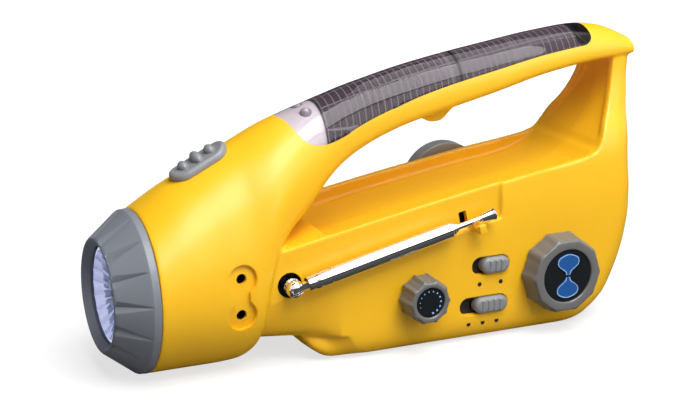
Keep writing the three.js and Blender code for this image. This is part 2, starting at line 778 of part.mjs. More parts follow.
function screwHoles() {
  return joined(screwSites.map(([x, z]) => {
    const head = rodY(x, z, screwHeadRadius + clearance, screwSeatY - clearance, farOut);
    return head.add(rodY(x, z, screwRadius + clearance, -screwReach - clearance, screwSeatY));
  }));
}

function fullBody() {
  const solid = joined([sweptForm(0), housing(), fingerBump(), spigot()]);
  return without(solid, [housingCavity(), lampBores(), windowPocket(), switchSlot(), screwHoles()]);
}

// Knob side shell

function dogBone() {
  const lobes = [jackUpperZ, jackLowerZ].map(z => rodY(jackX, z, jackLobeRadius, -farOut, 0, roundFacets));
  const waist = block(jackX - jackWaistHalf, jackX + jackWaistHalf, -farOut, 0, jackLowerZ, jackUpperZ);
  return joined([...lobes, waist]).subtract(sweptForm(jackRecessDepth));
}

function jackHoles() {
  return joined([jackUpperZ, jackLowerZ].map(z => {
    const hole = rodY(jackX, z, jackHoleRadius, -farOut, -jackSeatY + overrun);
    const [seat, end] = [-jackSeatY, -jackSeatY + jackLength + overrun];
    return hole.add(rodY(jackX, z, jackBarrelRadius + clearance, seat, end, roundFacets));
  }));
}

function controlOpenings() {
  const volume = rodY(volumeX, volumeZ, stemRadius + clearance, -farOut, -boardY, roundFacets);
  const tuning = rodY(tuningX, tuningZ, tuningStemRadius + clearance, -farOut, -boardY, roundFacets);
  const upper = sidePrism(stadium(upperSlotX, upperSlotZ, upperSlotLength, slotHeight), -farOut, -boardY);
  const lower = sidePrism(stadium(lowerSlotX, lowerSlotZ, lowerSlotLength, slotHeight), -farOut, -boardY);
  return joined([volume, tuning, upper, lower]);
}

// Round marks under the slide switches, one for each position.
function positionDots() {
  const floor = dotDepth - halfHousing;
  const sites = [-1 / 2, 1 / 2].map(k => [upperSlotX + k * upperDotPitch, upperSlotZ - dotDrop]);
  sites.push(...[-1, 0, 1].map(k => [lowerSlotX + k * lowerDotPitch, lowerSlotZ - dotDrop]));
  return joined(sites.map(([x, z]) => rodY(x, z, dotRadius, -farOut, floor, cornerFacets + cornerFacets)));
}

const pivotFloorY = pivotBallRadius + pivotRecessDepth - antennaOffset;

// Long recess beside the folded antenna, open at the lip, with the round one at its pivot.
function antennaRecess() {
  const cut = sidePrism(antennaOutline(0), -farOut, -antennaRecessY).subtract(sweptForm(-clearance));
  const pivot = rodY(pivotX, pivotZ, pivotRecessRadius, -farOut, pivotFloorY, roundFacets);
  const stemEnd = pivotFloorY + pivotStemLength;
  const stem = rodY(pivotX, pivotZ, pivotStemRadius + clearance, -farOut, stemEnd, roundFacets);
  const end = antennaRodEnd - restPegWidth - 2 * clearance;
  const [low, high] = [-antennaRadius, restSlotWidth];
  const corners = [[end - restSlotWidth, low], [end, low], [end, high], [end - restSlotWidth, high]];
  const slot = sidePrism(shapeOf(corners.map(([u, v]) => antennaPoint(u, v))), -farOut, -boardY);
  return joined([cut, pivot, stem, slot]);
}

// Cradle under the antenna's thin rod, cut out so that the wider sections slide over it too.
function restPeg() {
  const rod = sectionRadius(3);
  const seatRadius = sectionRadius(1) + clearance;
  const [low, high] = [-rod - clearance - restPegDrop, -rod - clearance];
  const [start, end] = [antennaRodEnd - restPegWidth - clearance, antennaRodEnd - clearance];
  const corners = [[start, low], [end, low], [end, high], [start, high]];
  const shape = shapeOf(corners.map(([u, v]) => antennaPoint(u, v)));
  const peg = sidePrism(shape, -antennaOffset - seatRadius - restPegLip, clearance - antennaRecessY);
  const seat = rodX(seatRadius, start - overrun, end + overrun, 0)
    .rotate([0, -antennaRise * THREE.MathUtils.RAD2DEG, 0])
    .translate([pivotX, -antennaOffset, pivotZ]);
  return peg.subtract(seat);
}

function nearShell(body) {
  const room = block(-bodyLength, 2 * bodyLength, -farOut, -seamGap / 2, -overrun, 2 * bodyHeight);
  const cuts = [dogBone(), jackHoles(), controlOpenings(), positionDots(), antennaRecess()];
  return without(body.intersect(room), cuts).add(restPeg());
}

// Crank side shell

const speakerFrontY = halfHousing - wallThickness - 2 * clearance;

function grille() {
  const offsets = Array.from({ length: grilleSlotCount }, (_, k) => (
    (k - (grilleSlotCount - 1) / 2) * grilleSlotPitch));
  return joined(offsets.map(offset => {
    const half = Math.sqrt((speakerRadius - speakerRim - clearance) ** 2 - offset ** 2);
    const bar = stadium(speakerX, speakerZ + offset, 2 * half, grilleSlotWidth);
    return sidePrism(bar, speakerFrontY, farOut, cornerFacets);
  }));
}

function doorOpening() {
  const seat = housingForm(doorThickness + clearance);
  const rim = sidePrism(doorPlan(clearance), 0, farOut, cornerFacets).subtract(seat);
  const hole = sidePrism(doorPlan(-doorLedge, doorTab - doorLedge), batteryY, farOut, cornerFacets);
  const screw = rodY(doorScrewX, batteryZ, doorScrewRadius + clearance, doorScrewEndY - clearance, farOut);
  return joined([rim, hole, screw]);
}

function farShell(body) {
  const room = block(-bodyLength, 2 * bodyLength, seamGap / 2, farOut, -overrun, 2 * bodyHeight);
  const shaft = rodY(crankX, crankZ, crankShaftRadius + clearance, 0, farOut, roundFacets);
  return without(body.intersect(room), [grille(), doorOpening(), shaft]).add(batteryShelf());
}

// Battery door and battery

const batteryBayX = batteryX - (doorTab - doorLedge) / 2;
const batteryPitch = 2 * batteryCellRadius + batteryCellGap;
const batteryReach = (batteryCellCount - 1) / 2 * batteryPitch;

// Shelf inside the crank side shell that the battery stands on.
function batteryShelf() {
  const half = batteryCellLength / 2;
  const top = batteryZ - batteryReach - batteryCellRadius - clearance;
  const outer = halfHousing - wallThickness + clearance;
  const inner = batteryY - batteryCellRadius;
  return block(batteryBayX - half, batteryBayX + half, inner, outer, top - shelfThickness, top);
}

const doorScrewX = batteryX + (doorLength - doorTab + doorLedge / 2) / 2;
const doorScrewTopY = halfHousing - clearance;
const doorScrewEndY = doorScrewTopY - doorScrewHeadHeight - doorScrewLength;

function batteryDoor() {
  const skin = housingForm(0).subtract(housingForm(doorThickness));
  const door = skin.intersect(sidePrism(doorPlan(0), 0, farOut, cornerFacets));
  const headSeat = doorScrewTopY - doorScrewHeadHeight - clearance;
  const head = rodY(doorScrewX, batteryZ, doorScrewHeadRadius + clearance, headSeat, farOut);
  const shank = rodY(doorScrewX, batteryZ, doorScrewRadius + clearance, 0, farOut);
  return without(door, [head, shank]);
}

// Pan-head screw along y with a straight driver slot.
function screw(x, z, topY, headRadius, headHeight, radius, length) {
  const seat = topY - headHeight;
  const head = rodY(x, z, headRadius, seat, topY);
  const half = radius / 4;
  const slotY = topY - headHeight / 2;
  const slot = block(x - headRadius, x + headRadius, slotY, topY + overrun, z - half, z + half);
  return head.add(rodY(x, z, radius, seat - length, seat)).subtract(slot);
}

const doorScrew = () => screw(doorScrewX, batteryZ, doorScrewTopY,
  doorScrewHeadRadius, doorScrewHeadHeight, doorScrewRadius, doorScrewLength);

const caseScrew = ([x, z]) => screw(x, z, screwSeatY + screwHeadHeight,
  screwHeadRadius, screwHeadHeight, screwRadius, screwSeatY + screwReach);

function batteryPack() {
  const low = batteryBayX - batteryCellLength / 2;
  const cells = Array.from({ length: batteryCellCount }, (_, k) => {
    const z = batteryZ - batteryReach + k * batteryPitch;
    return rodX(batteryCellRadius, low, low + batteryCellLength, z).translate([0, batteryY, 0]);
  });
  const half = batteryWeb / 2;
  const webY = [batteryY - half, batteryY + half];
  const webZ = [batteryZ - batteryReach, batteryZ + batteryReach];
  cells.push(block(low + half, low + batteryCellLength - half, ...webY, ...webZ));
  return joined(cells);
}

// Bezel and lamp

const lensX = lensSetback - bezelLength;

// Tapered round-bottomed groove, wide at the front edge, run out before the rear band.
function bezelGroove(k) {
  const angle = 2 * Math.PI * (k + 1 / 2) / bezelGrooveCount;
  const run = bezelLength - bezelBandWidth;
  const length = run + overrun;
  const radii = [bezelGrooveWidth / 2, bezelGrooveWidth / 8];
  const cone = new THREE.CylinderGeometry(...radii, length, 2 * cornerFacets);
  cone.scale(1, 1, 2 * bezelGrooveDepth / bezelGrooveWidth);
  cone.rotateX(Math.PI / 2).rotateY(-Math.PI / 2).translate(-length / 2, 0, 0);
  cone.rotateX(Math.PI / 2);
  cone.rotateY(-Math.atan((barrelRadius - bezelFrontRadius) / run));
  cone.translate(-bezelBandWidth, 0, barrelRadius - clearance);
  return solidOf(cone.rotateX(angle).translate(0, 0, barrelRadius));
}

function bezel() {
  const front = -bezelLength;
  const inner = bezelFrontRadius - bezelRimWidth;
  const step = -spigotLength - clearance;
  const seat = spigotRadius + clearance;
  const pocket = lensRadius + clearance;
  const profile = [
    [-clearance, seat], [-clearance, barrelRadius], [-bezelBandWidth, barrelRadius - clearance],
    [front + bezelRimWidth / 2, bezelFrontRadius + bezelRimWidth / 2], [front, bezelFrontRadius],
    [front, inner], [lensX - clearance, inner - bezelRimWidth], [lensX - clearance, pocket],
    [step - bezelRimWidth, pocket], [step - bezelRimWidth, seat - bezelWall],
    [step, seat - bezelWall], [step, seat],
  ];
  const grooves = Array.from({ length: bezelGrooveCount }, (_, k) => bezelGroove(k));
  return without(revolveX(profile, barrelRadius, barrelFacets), grooves);
}

const lens = () => rodX(lensRadius, lensX, lensX + lensThickness, barrelRadius, barrelFacets);

const reflectorFrontX = lensX + lensThickness + clearance;
const lampBoardX = lampBoreDepth - clearance - lampBoardThickness;

function reflector() {
  const mouth = lensRadius - 2 * reflectorWall;
  const run = lampBoardX - clearance - reflectorFrontX;
  const neck = reflectorNeckRadius;
  const bowl = [0, 1 / 4, 1 / 2, 3 / 4, 1].map(t => [
    reflectorFrontX + t * run, Math.sqrt(neck ** 2 + (mouth ** 2 - neck ** 2) * (1 - t))]);
  const outside = bowl.map(([x, radius]) => [x, radius + reflectorWall]).reverse();
  outside.pop();
  const flange = reflectorFrontX + reflectorWall;
  const profile = [...bowl, ...outside, [flange, mouth + reflectorWall], [flange, lensRadius]];
  return revolveX([...profile, [reflectorFrontX, lensRadius]], barrelRadius, roundFacets);
}

const lampBoard = () => rodX(
  lampBoreRadius - clearance, lampBoardX, lampBoardX + lampBoardThickness, barrelRadius, barrelFacets);

function lampBulb(k) {
  const angle = 2 * Math.PI * (k / lampBulbCount + 1 / 4);
  const end = lampBoardX - clearance;
  const shoulder = end - lampBulbLength + lampBulbRadius;
  const profile = [[end, 0], [end, lampBulbRadius], [shoulder, lampBulbRadius]];
  for (const t of [1 / 3, 2 / 3]) {
    const lean = t * Math.PI / 2;
    profile.push([shoulder - lampBulbRadius * Math.sin(lean), lampBulbRadius * Math.cos(lean)]);
  }
  profile.push([shoulder - lampBulbRadius, 0]);
  const [y, z] = [lampBulbCircle * Math.cos(angle), barrelRadius + lampBulbCircle * Math.sin(angle)];
  return revolveX(profile, 0, smallFacets).translate([0, y, z]);
}

// Solar window, cells and charge lamps

function solarWindow() {
  const skin = sweptForm(0).subtract(sweptForm(windowThickness));
  return skin.intersect(windowPrism(0)).intersect(aboveLevel(windowEdgeShare));
}

function cellFloorAt(x) {
  const line = sections.map(section => section.bottom.clone().lerp(section.top, cellFloorShare));
  const i = Math.max(line.findIndex(point => point.x >= x), 1);
  const t = (x - line[i - 1].x) / (line[i].x - line[i - 1].x);
  return line[i - 1].z + t * (line[i].z - line[i - 1].z);
}

// Flat cell between two x positions, lying on the crown of the pocket's floor.
function solarCell(xLow, xHigh) {
  const ends = [cellFloorAt(xLow), cellFloorAt(xHigh)];
  const rises = Array.from({ length: sectionFacets }, (_, k) => k / sectionFacets).map(t => (
    cellFloorAt(xLow + t * (xHigh - xLow)) - ends[0] - t * (ends[1] - ends[0])));
  const lift = Math.max(0, ...rises) + clearance;
  const [low, high] = ends.map(z => z + lift);
  const points = [[xLow, low], [xHigh, high], [xHigh, high + cellThickness], [xLow, low + cellThickness]];
  const half = windowHalfWidth - windowLedgeWidth - clearance;
  return sidePrism(shapeOf(points), -half, half);
}

function chargeBulb(side) {
  const low = cellFloorAt(chargeBulbX + chargeBulbRadius) + clearance;
  const profile = [[0, low], [chargeBulbRadius, low], [chargeBulbRadius, low + chargeBulbHeight]];
  for (const t of [1 / 3, 2 / 3]) {
    const lean = t * Math.PI / 2;
    profile.push([chargeBulbRadius * Math.cos(lean),
      low + chargeBulbHeight + chargeBulbRadius * Math.sin(lean)]);
  }
  profile.push([0, low + chargeBulbHeight + chargeBulbRadius]);
  const points = profile.map(([radius, z]) => new THREE.Vector2(radius, z));
  const bulb = new THREE.LatheGeometry(points, smallFacets).rotateX(Math.PI / 2);
  return solidOf(bulb.translate(chargeBulbX, side * chargeBulbSpread, 0));
}

// Head switch

function switchPip(k) {
  const radius = switchPipRadius * (k === 0 ? 4 / 3 : 1);
  const geometry = new THREE.SphereGeometry(radius, 2 * cornerFacets, cornerFacets);
  geometry.scale(1 / 2, k === 0 ? 3 / 2 : 1, 1 / 2);
  return solidOf(geometry.translate(k * switchPipPitch, 0, switchHeight));
}

// Capsule-shaped thumb piece with three pips and a stem down to the switch.
function headSwitch() {
  const plan = stadium(0, 0, switchLength, switchWidth);
  const crown = rodX(switchWidth, -switchLength, switchLength, switchHeight - switchWidth, barrelFacets);
  const plate = planPrism(plan, -switchHeight, switchHeight, smallFacets).intersect(crown);
  const pips = [-1, 0, 1].map(k => onTopLine(switchPip(k)));
  const [long, wide] = [switchStemLength / 2, switchStemWidth / 2];
  const stem = onTopLine(block(-long, long, -wide, wide, clearance - switchStemDepth, switchHeight / 2));
  return joined([onTopLine(plate).subtract(sweptForm(-clearance)), ...pips, stem]);
}

// Knobs

// Ring of a fluted knob in the plane at y: narrow ridges between wide flutes. The scallop is a
// share of lobeDepth.
function lobedRing(x, z, radius, y, lobes, scallop) {
  const count = lobes * lobeFacets;
  return Array.from({ length: count }, (_, k) => {
    const angle = 2 * Math.PI * k / count;
    const ridge = ((1 + Math.cos(lobes * angle)) / 2) ** 3;
    const reach = radius - scallop * lobeDepth * (1 - ridge);
    return new THREE.Vector3(x + reach * Math.cos(angle), y, z + reach * Math.sin(angle));
  });
}

// Fluted knob with a rounded face edge and a round pocket for its dial.
function knob({ x, z, base, face, dial, height, lobes, pocket }) {
  const foot = -halfHousing - clearance;
  const front = -halfHousing - height;
  return loft([
    lobedRing(x, z, base, foot, lobes, 1),
    lobedRing(x, z, face + edgeRound / 2, front + edgeRound, lobes, 1),
    lobedRing(x, z, face, front + edgeRound / 3, lobes, 1 / 2),
    lobedRing(x, z, face - edgeRound, front, lobes, 0),
    lobedRing(x, z, dial + edgeRound / 3, front, lobes, 0),
    lobedRing(x, z, dial, front + edgeRound / 2, lobes, 0),
    lobedRing(x, z, dial, front + pocket, lobes, 0),
  ]);
}

const boardFrontY = -boardY - boardThickness;
const switchFaceY = -halfHousing + wallThickness + clearance;
const volumeDialY = dialSetback - halfHousing - volumeHeight;

function volumeKnob() {
  const cap = knob({
    x: volumeX, z: volumeZ, base: volumeBaseRadius, face: volumeFaceRadius, dial: volumeDialRadius,
    height: volumeHeight, lobes: volumeLobes, pocket: dialSetback + dialThickness + clearance,
  });
  return cap.add(rodY(volumeX, volumeZ, stemRadius, -halfHousing - edgeRound, switchFaceY, roundFacets));
}

const volumeDial = () => rodY(volumeX, volumeZ, volumeDialRadius - clearance,
  volumeDialY, volumeDialY + dialThickness, barrelFacets);

function potentiometer(x, z, bore) {
  const body = rodY(x, z, potRadius, switchFaceY + clearance, boardFrontY - clearance, roundFacets);
  return bore > 0 ? body.subtract(rodY(x, z, bore, -halfHousing, 0)) : body;
}

// The tuning ring turns about a fixed cup that carries the dial plate and its two keys.
const tuningFrontY = -halfHousing - tuningHeight;
const tuningPlateY = tuningFrontY + dialSetback;
const plateRearY = tuningPlateY + dialThickness;
const keyRearY = plateRearY + clearance + keyFlangeThickness;
const cupFloorY = keyRearY + keyTravel + clearance;
const cupRadius = tuningDialRadius - clearance;

function tuningKnob() {
  const ring = knob({
    x: tuningX, z: tuningZ, base: tuningBaseRadius, face: tuningFaceRadius, dial: tuningDialRadius,
    height: tuningHeight, lobes: tuningLobes, pocket: cupFloorY + cupFloor + clearance - tuningFrontY,
  });
  const stem = rodY(tuningX, tuningZ, tuningStemRadius, -halfHousing - edgeRound, switchFaceY, roundFacets);
  const bore = rodY(tuningX, tuningZ, tuningPostRadius + clearance, -farOut, 0);
  return ring.add(stem).subtract(bore);
}

// One half of the dumbbell-shaped key field, from near the waist round its wide end.
function keyOutline(side, grow) {
  const rim = keyShares.map(([reach, half]) => [
    half * keyHalfWidth + grow, reach * keyReach + (2 * reach - 1) * grow]);
  rim[0][1] = keySplit - grow;
  const left = rim.map(([across, z]) => [-across, z]).reverse();
  const points = [...rim, [0, keyReach + grow], ...left];
  return shapeOf(points.map(([across, z]) => [tuningX + across, tuningZ + side * z]));
}

function tuningDial() {
  const cup = rodY(tuningX, tuningZ, cupRadius, tuningPlateY, cupFloorY + cupFloor, barrelFacets);
  const room = rodY(tuningX, tuningZ, cupRadius - cupWall, plateRearY, cupFloorY, barrelFacets);
  const fields = [1, -1].map(side => sidePrism(keyOutline(side, keyPlay), -farOut, plateRearY + clearance));
  const post = rodY(tuningX, tuningZ, tuningPostRadius, cupFloorY, boardFrontY - clearance);
  return without(cup, [room, ...fields]).add(post);
}

function tuningKey(side) {
  const face = sidePrism(keyOutline(side, 0), tuningPlateY - keyProud, keyRearY);
  return face.add(sidePrism(keyOutline(side, keyFlange), plateRearY + clearance, keyRearY));
}

// Slide switches

function slider(slotX, z, slotLength, length, ribs) {
  const x = slotX + (slotLength - length) / 2 - clearance;
  const height = slotHeight - 2 * clearance;
  const face = sliderRibRadius - halfHousing - sliderProud;
  const base = sidePrism(stadium(x, z, length, height), face, switchFaceY - clearance);
  const bars = Array.from({ length: ribs }, (_, k) => {
    const offset = (k - (ribs - 1) / 2) * sliderRibPitch;
    const bar = new THREE.CylinderGeometry(sliderRibRadius, sliderRibRadius, height * 3 / 4, smallFacets);
    return solidOf(bar.rotateX(Math.PI / 2).translate(x + offset, face, z));
  });
  const half = sliderStemWidth / 2;
  const stem = block(x - half, x + half, face, switchFaceY + sliderStemReach, z - half, z + half);
  return joined([base, ...bars, stem]);
}

function slideSwitch(slotX, z, slotLength, length) {
  const half = slotLength / 2 + clearance;
  const high = slotHeight / 2 + clearance;
  const body = block(slotX - half, slotX + half, switchFaceY, boardFrontY - clearance, z - high, z + high);
  const x = slotX + (slotLength - length) / 2 - clearance;
  const wide = sliderStemWidth / 2 + clearance;
  const travel = slotLength - length - 2 * clearance;
  const groove = block(x - travel - wide, x + wide, -farOut, switchFaceY + sliderStemReach + clearance,
    z - wide, z + wide);
  return body.subtract(groove);
}

// Jacks

function jack(z) {
  const outer = clearance - jackSeatY;
  const barrel = rodY(jackX, z, jackBarrelRadius, outer, outer + jackLength, roundFacets);
  return barrel.subtract(rodY(jackX, z, jackHoleRadius, -farOut, outer + jackLength - jackHoleRadius));
}

// Antenna, built along +X from its pivot and tilted as one group

function antennaFrame() {
  const frame = new THREE.Group();
  frame.position.set(pivotX, -antennaOffset, pivotZ);
  frame.rotation.y = -antennaRise;
  return frame;
}

// Slotted ball on its stem, which turns in the shell.
function antennaMount() {
  const ball = solidOf(new THREE.SphereGeometry(pivotBallRadius, smallFacets, 2 * cornerFacets));
  const reach = pivotTongueRadius + clearance;
  const open = 2 * pivotBallRadius;
  const slot = block(-reach, open, -open, reach, -pivotSlotHalf, pivotSlotHalf);
  const shoulder = rodY(0, 0, pivotWall, reach + clearance, pivotBallRadius + clearance, roundFacets);
  const stemEnd = pivotBallRadius + pivotRecessDepth + pivotStemLength - clearance;
  const stem = rodY(0, 0, pivotStemRadius, reach + clearance, stemEnd, roundFacets);
  return joined([ball.subtract(slot), shoulder, stem]).subtract(pinBore());
}

const pinBore = () => rodZ(0, pivotPinRadius + clearance, -2 * pivotBallRadius, 2 * pivotBallRadius);

const antennaPin = () => rodZ(0, pivotPinRadius, -pivotBallRadius, pivotBallRadius);

const antennaEnd = antennaStart + antennaLength;
const sectionRadius = k => antennaRadius - k * (antennaWall + clearance);
const sectionStart = k => antennaStart + antennaPlug + k * antennaSectionGap;
const sectionEnd = k => antennaEnd + k * antennaShow;

// Outer tube with its collar and grooves, and the flat tongue that the pin goes through.
function antennaTube() {
  const [start, radius, small] = [antennaStart, antennaRadius, antennaRadius - collarDepth];
  const groove = k => [
    [start + k * groovePitch, radius], [start + k * groovePitch, small],
    [start + k * groovePitch + grooveWidth, small], [start + k * groovePitch + grooveWidth, radius],
  ];
  const profile = [
    [start, 0], [start, small], [start + collarLength, small], [start + collarLength, radius],
    ...groove(1), ...groove(2), [antennaEnd, radius], [antennaEnd, radius - antennaWall],
    [start + antennaPlug, radius - antennaWall], [start + antennaPlug, 0],
  ];
  const half = pivotSlotHalf - clearance;
  const tongue = rodZ(0, pivotTongueRadius, -half, half);
  const neck = block(0, antennaStart + clearance, -half, half, -half, half);
  return joined([revolveX(profile, 0, smallFacets), tongue, neck]).subtract(pinBore());
}

function antennaSection(k) {
  const [start, end, radius] = [sectionStart(k), sectionEnd(k), sectionRadius(k)];
  const inner = radius - antennaWall;
  const profile = [[start, 0], [start, radius], [end, radius], [end, inner],
    [start + antennaSectionGap / 2, inner], [start + antennaSectionGap / 2, 0]];
  return revolveX(profile, 0, smallFacets);
}

function antennaRod() {
  const radius = sectionRadius(3);
  const end = antennaRodEnd + antennaTipLength;
  const profile = [[sectionStart(3), 0], [sectionStart(3), radius], [antennaRodEnd, radius],
    [antennaRodEnd, radius + antennaWall], [end, antennaTipRadius], [end, 0]];
  return revolveX(profile, 0, smallFacets);
}

// Gears

// Spur gear about the y direction, with teeth thinned for running clearance. The first tooth is
// centred at the given angle in side view.
function gear(teeth, yLow, yHigh, phase) {
  const pitchRadius = gearModule * teeth / 2;
  const [tip, root] = [pitchRadius + gearModule * 4 / 5, pitchRadius - gearModule * 6 / 5];
  const halfTooth = (Math.PI * gearModule - gearBacklash) / 4;
  const flanks = [[root, -3 / 2], [tip, -1 / 2], [tip, 1 / 2], [root, 3 / 2]];
  const points = [];
  for (let k = 0; k < teeth; k++) {
    for (const [radius, lean] of flanks) {
      const angle = phase + 2 * Math.PI * k / teeth + lean * halfTooth / pitchRadius;
      points.push([radius * Math.cos(angle), radius * Math.sin(angle)]);
    }
  }
  return sidePrism(shapeOf(points), yLow, yHigh);
}

const meshDistance = (a, b) => gearModule * (a + b) / 2;
const crankIdlerDistance = meshDistance(crankGearTeeth, idlerPinionTeeth);
const idlerRotorDistance = meshDistance(idlerGearTeeth, rotorPinionTeeth);
const idlerX = crankX + crankIdlerDistance * Math.cos(idlerBearing);
const idlerZ = crankZ + crankIdlerDistance * Math.sin(idlerBearing);
const rotorX = idlerX + idlerRotorDistance * Math.cos(rotorBearing);
const rotorZ = idlerZ + idlerRotorDistance * Math.sin(rotorBearing);
const idlerLayerY = gearLayerY - gearWidth - 2 * clearance;
const gearPlateY = gearLayerY + gearWidth + 2 * clearance;
const dynamoFrontY = idlerLayerY - 3 * clearance;
const dynamoRearY = dynamoFrontY - dynamoLength;

function idlerGear() {
  const meshPhase = idlerBearing + Math.PI + Math.PI / idlerPinionTeeth;
  const pinion = gear(idlerPinionTeeth, idlerLayerY, gearLayerY + gearWidth, meshPhase);
  const wheel = gear(idlerGearTeeth, idlerLayerY, idlerLayerY + gearWidth, rotorBearing);
  const bore = rodY(0, 0, gearShaftRadius + clearance, 0, farOut);
  return pinion.add(wheel).subtract(bore).translate([idlerX, 0, idlerZ]);
}

function dynamoRotor() {
  const meshPhase = rotorBearing + Math.PI + Math.PI / rotorPinionTeeth;
  const pinion = gear(rotorPinionTeeth, idlerLayerY, idlerLayerY + gearWidth, meshPhase);
  const shaft = rodY(0, 0, gearShaftRadius, dynamoRearY + dynamoWall + clearance, idlerLayerY + gearWidth);
  return pinion.add(shaft).translate([rotorX, 0, rotorZ]);
}

function dynamoCan() {
  const can = rodY(rotorX, rotorZ, dynamoRadius, dynamoRearY, dynamoFrontY, roundFacets);
  return can.subtract(rodY(rotorX, rotorZ, gearShaftRadius + clearance, dynamoRearY + dynamoWall, farOut));
}

// Plate that carries the crank shaft's bearing and the idler's fixed shaft.
function gearPlate() {
  const [near, far] = [crankX + gearPlateMargin, idlerX - 2 * gearPlateMargin];
  const [low, high] = [idlerZ - gearPlateMargin, crankZ + gearPlateMargin];
  const shape = shapeOf([[near, low], [near, high], [crankX - gearPlateMargin, high],
    [far, idlerZ + gearPlateMargin / 2], [far, low]]);
  const plate = sidePrism(shape, gearPlateY, gearPlateY + gearPlateThickness);
  const shaft = rodY(idlerX, idlerZ, gearShaftRadius, idlerLayerY, gearPlateY + gearPlateThickness / 2);
  const bearing = rodY(crankX, crankZ, crankShaftRadius + clearance, 0, farOut, roundFacets);
  return plate.add(shaft).subtract(bearing);
}

// Crank, built about its shaft with the arm along +X and outward along +Y

function crankFrame() {
  const frame = new THREE.Group();
  frame.position.set(crankX, halfHousing + clearance, crankZ);
  frame.rotation.y = crankArmAngle;
  return frame;
}

// Shaft and gear in one piece. Its gear is turned back so that a tooth meets the idler.
function crankShaft() {
  const inner = gearLayerY - halfHousing - clearance;
  const shaft = rodY(0, 0, crankShaftRadius, inner, crankShaftSeat, roundFacets);
  return shaft.add(gear(crankGearTeeth, inner, inner + gearWidth, idlerBearing + crankArmAngle));
}

// Hub and arm in one piece: the folded grip lies in the arm's slot.
function crankArm() {
  const profile = [
    [0, 0], [crankHubRadius, 0], [crankHubRadius, crankHubHeight - crankHubRound],
    [crankHubRadius - crankHubRound, crankHubHeight], [0, crankHubHeight],
  ];
  const points = profile.map(([radius, y]) => new THREE.Vector2(radius, y));
  const hub = solidOf(new THREE.LatheGeometry(points, barrelFacets));
  const end = crankArmLength + crankArmWidth / 2;
  const arm = sidePrism(stadium(end / 2, 0, end, crankArmWidth), crankArmBase, crankArmHeight);
  const slotHalf = gripRadius + 2 * clearance;
  const slotStart = crankArmLength - gripEyeRadius - gripLength - 4 * clearance;
  const slotEnd = crankArmLength + gripEyeRadius + clearance;
  const slot = block(slotStart, slotEnd, -farOut, farOut, -slotHalf, slotHalf);
  const pinRoom = rodZ(crankArmLength, gripPinRadius + clearance, -farOut, farOut);
  const seat = rodY(0, 0, crankShaftRadius + clearance, -overrun, crankHubHeight, roundFacets);
  const capSeat = crankHubHeight - crankCapThickness;
  const pocket = rodY(0, 0, crankCapRadius + clearance, capSeat, farOut, roundFacets);
  return without(hub.add(arm), [slot, pinRoom.translate([0, gripHeight, 0]), seat, pocket]);
}

const crankCap = () => rodY(0, 0, crankCapRadius,
  crankHubHeight - crankCapThickness + clearance, crankHubHeight + clearance, roundFacets);

const gripPin = () => rodZ(crankArmLength, gripPinRadius, -crankArmWidth / 2, crankArmWidth / 2)
  .translate([0, gripHeight, 0]);

const gripNear = -gripEyeRadius - clearance;
const gripFar = gripNear - gripLength;

// Eye on the pin, with the spindle that the sleeve turns on and its end head.
function gripStem() {
  const eye = rodZ(0, gripEyeRadius, -gripEyeHalf, gripEyeHalf, roundFacets);
  const spindle = rodX(gripBore - clearance, gripFar + gripHeadLength / 2, -gripPinRadius);
  const head = rodX(gripHeadRadius, gripFar + clearance, gripFar + clearance + gripHeadLength);
  const bore = rodZ(0, gripPinRadius + clearance, -farOut, farOut);
  return joined([eye, spindle, head]).subtract(bore).translate([crankArmLength, gripHeight, 0]);
}

function gripSleeve() {
  const pocket = gripFar + gripHeadLength + 2 * clearance;
  const profile = [
    [gripNear, gripBore], [gripNear, gripRadius], [gripFar, gripRadius],
    [gripFar, gripHeadRadius + clearance], [pocket, gripHeadRadius + clearance], [pocket, gripBore],
  ];
  return revolveX(profile, 0, smallFacets).translate([crankArmLength, gripHeight, 0]);
}

// Speaker and board

function speakerFrame() {
  const front = speakerFrontY;
  const rear = front - speakerDepth;
  const inner = speakerRadius - speakerRim;
  const hole = magnetRadius + clearance;
  const profile = [
    [inner, front], [speakerRadius, front], [speakerRadius, front - speakerSkin],
    [inner + speakerSkin, front - speakerSkin], [hole + speakerRim, rear], [hole, rear],
    [hole, rear + speakerSkin], [hole + speakerSkin, rear + speakerSkin], [inner, front - speakerSkin],
  ];
  return revolveY(profile, speakerX, speakerZ, roundFacets);
}

function speakerCone() {
  const rim = speakerRadius - speakerRim - clearance;
  const [front, rear] = [speakerFrontY - clearance, speakerFrontY - coneDepth];
  const profile = [
    [0, rear + coneThickness * 2], [dustCapRadius / 2, rear + coneThickness * 5 / 3],
    [dustCapRadius, rear + coneThickness], [rim - coneThickness, front], [rim, front],
    [rim, front - coneThickness], [dustCapRadius, rear], [0, rear],
  ];
  return revolveY(profile, speakerX, speakerZ, roundFacets);
}

const speakerMagnet = () => rodY(speakerX, speakerZ, magnetRadius,
  speakerFrontY - speakerDepth - magnetDepth + speakerSkin, speakerFrontY - speakerDepth + speakerSkin,
  roundFacets);

const mainBoard = () => block(
  boardFrontX, boardRearX, boardFrontY, -boardY, boardLowZ, boardHighZ);

// Assembly

const model = new THREE.Group();
const add = (name, solid, finish) => model.add(piece(name, solid, finish));

const body = fullBody();
add('near_shell', nearShell(body), 'shell');
add('far_shell', farShell(body), 'shell');
screwSites.forEach((site, k) => add(`case_screw_${k + 1}`, caseScrew(site), 'steel'));

add('bezel', bezel(), 'bezel');
add('lens', lens(), 'clear');
add('reflector', reflector(), 'chrome');
add('lamp_board', lampBoard(), 'board');
for (let k = 0; k < lampBulbCount; k++) add(`lamp_bulb_${k + 1}`, lampBulb(k), 'bulb');
add('head_switch', headSwitch(), 'knob');
add('head_switch_body', onTopLine(switchBodyBlock(0)), 'black');

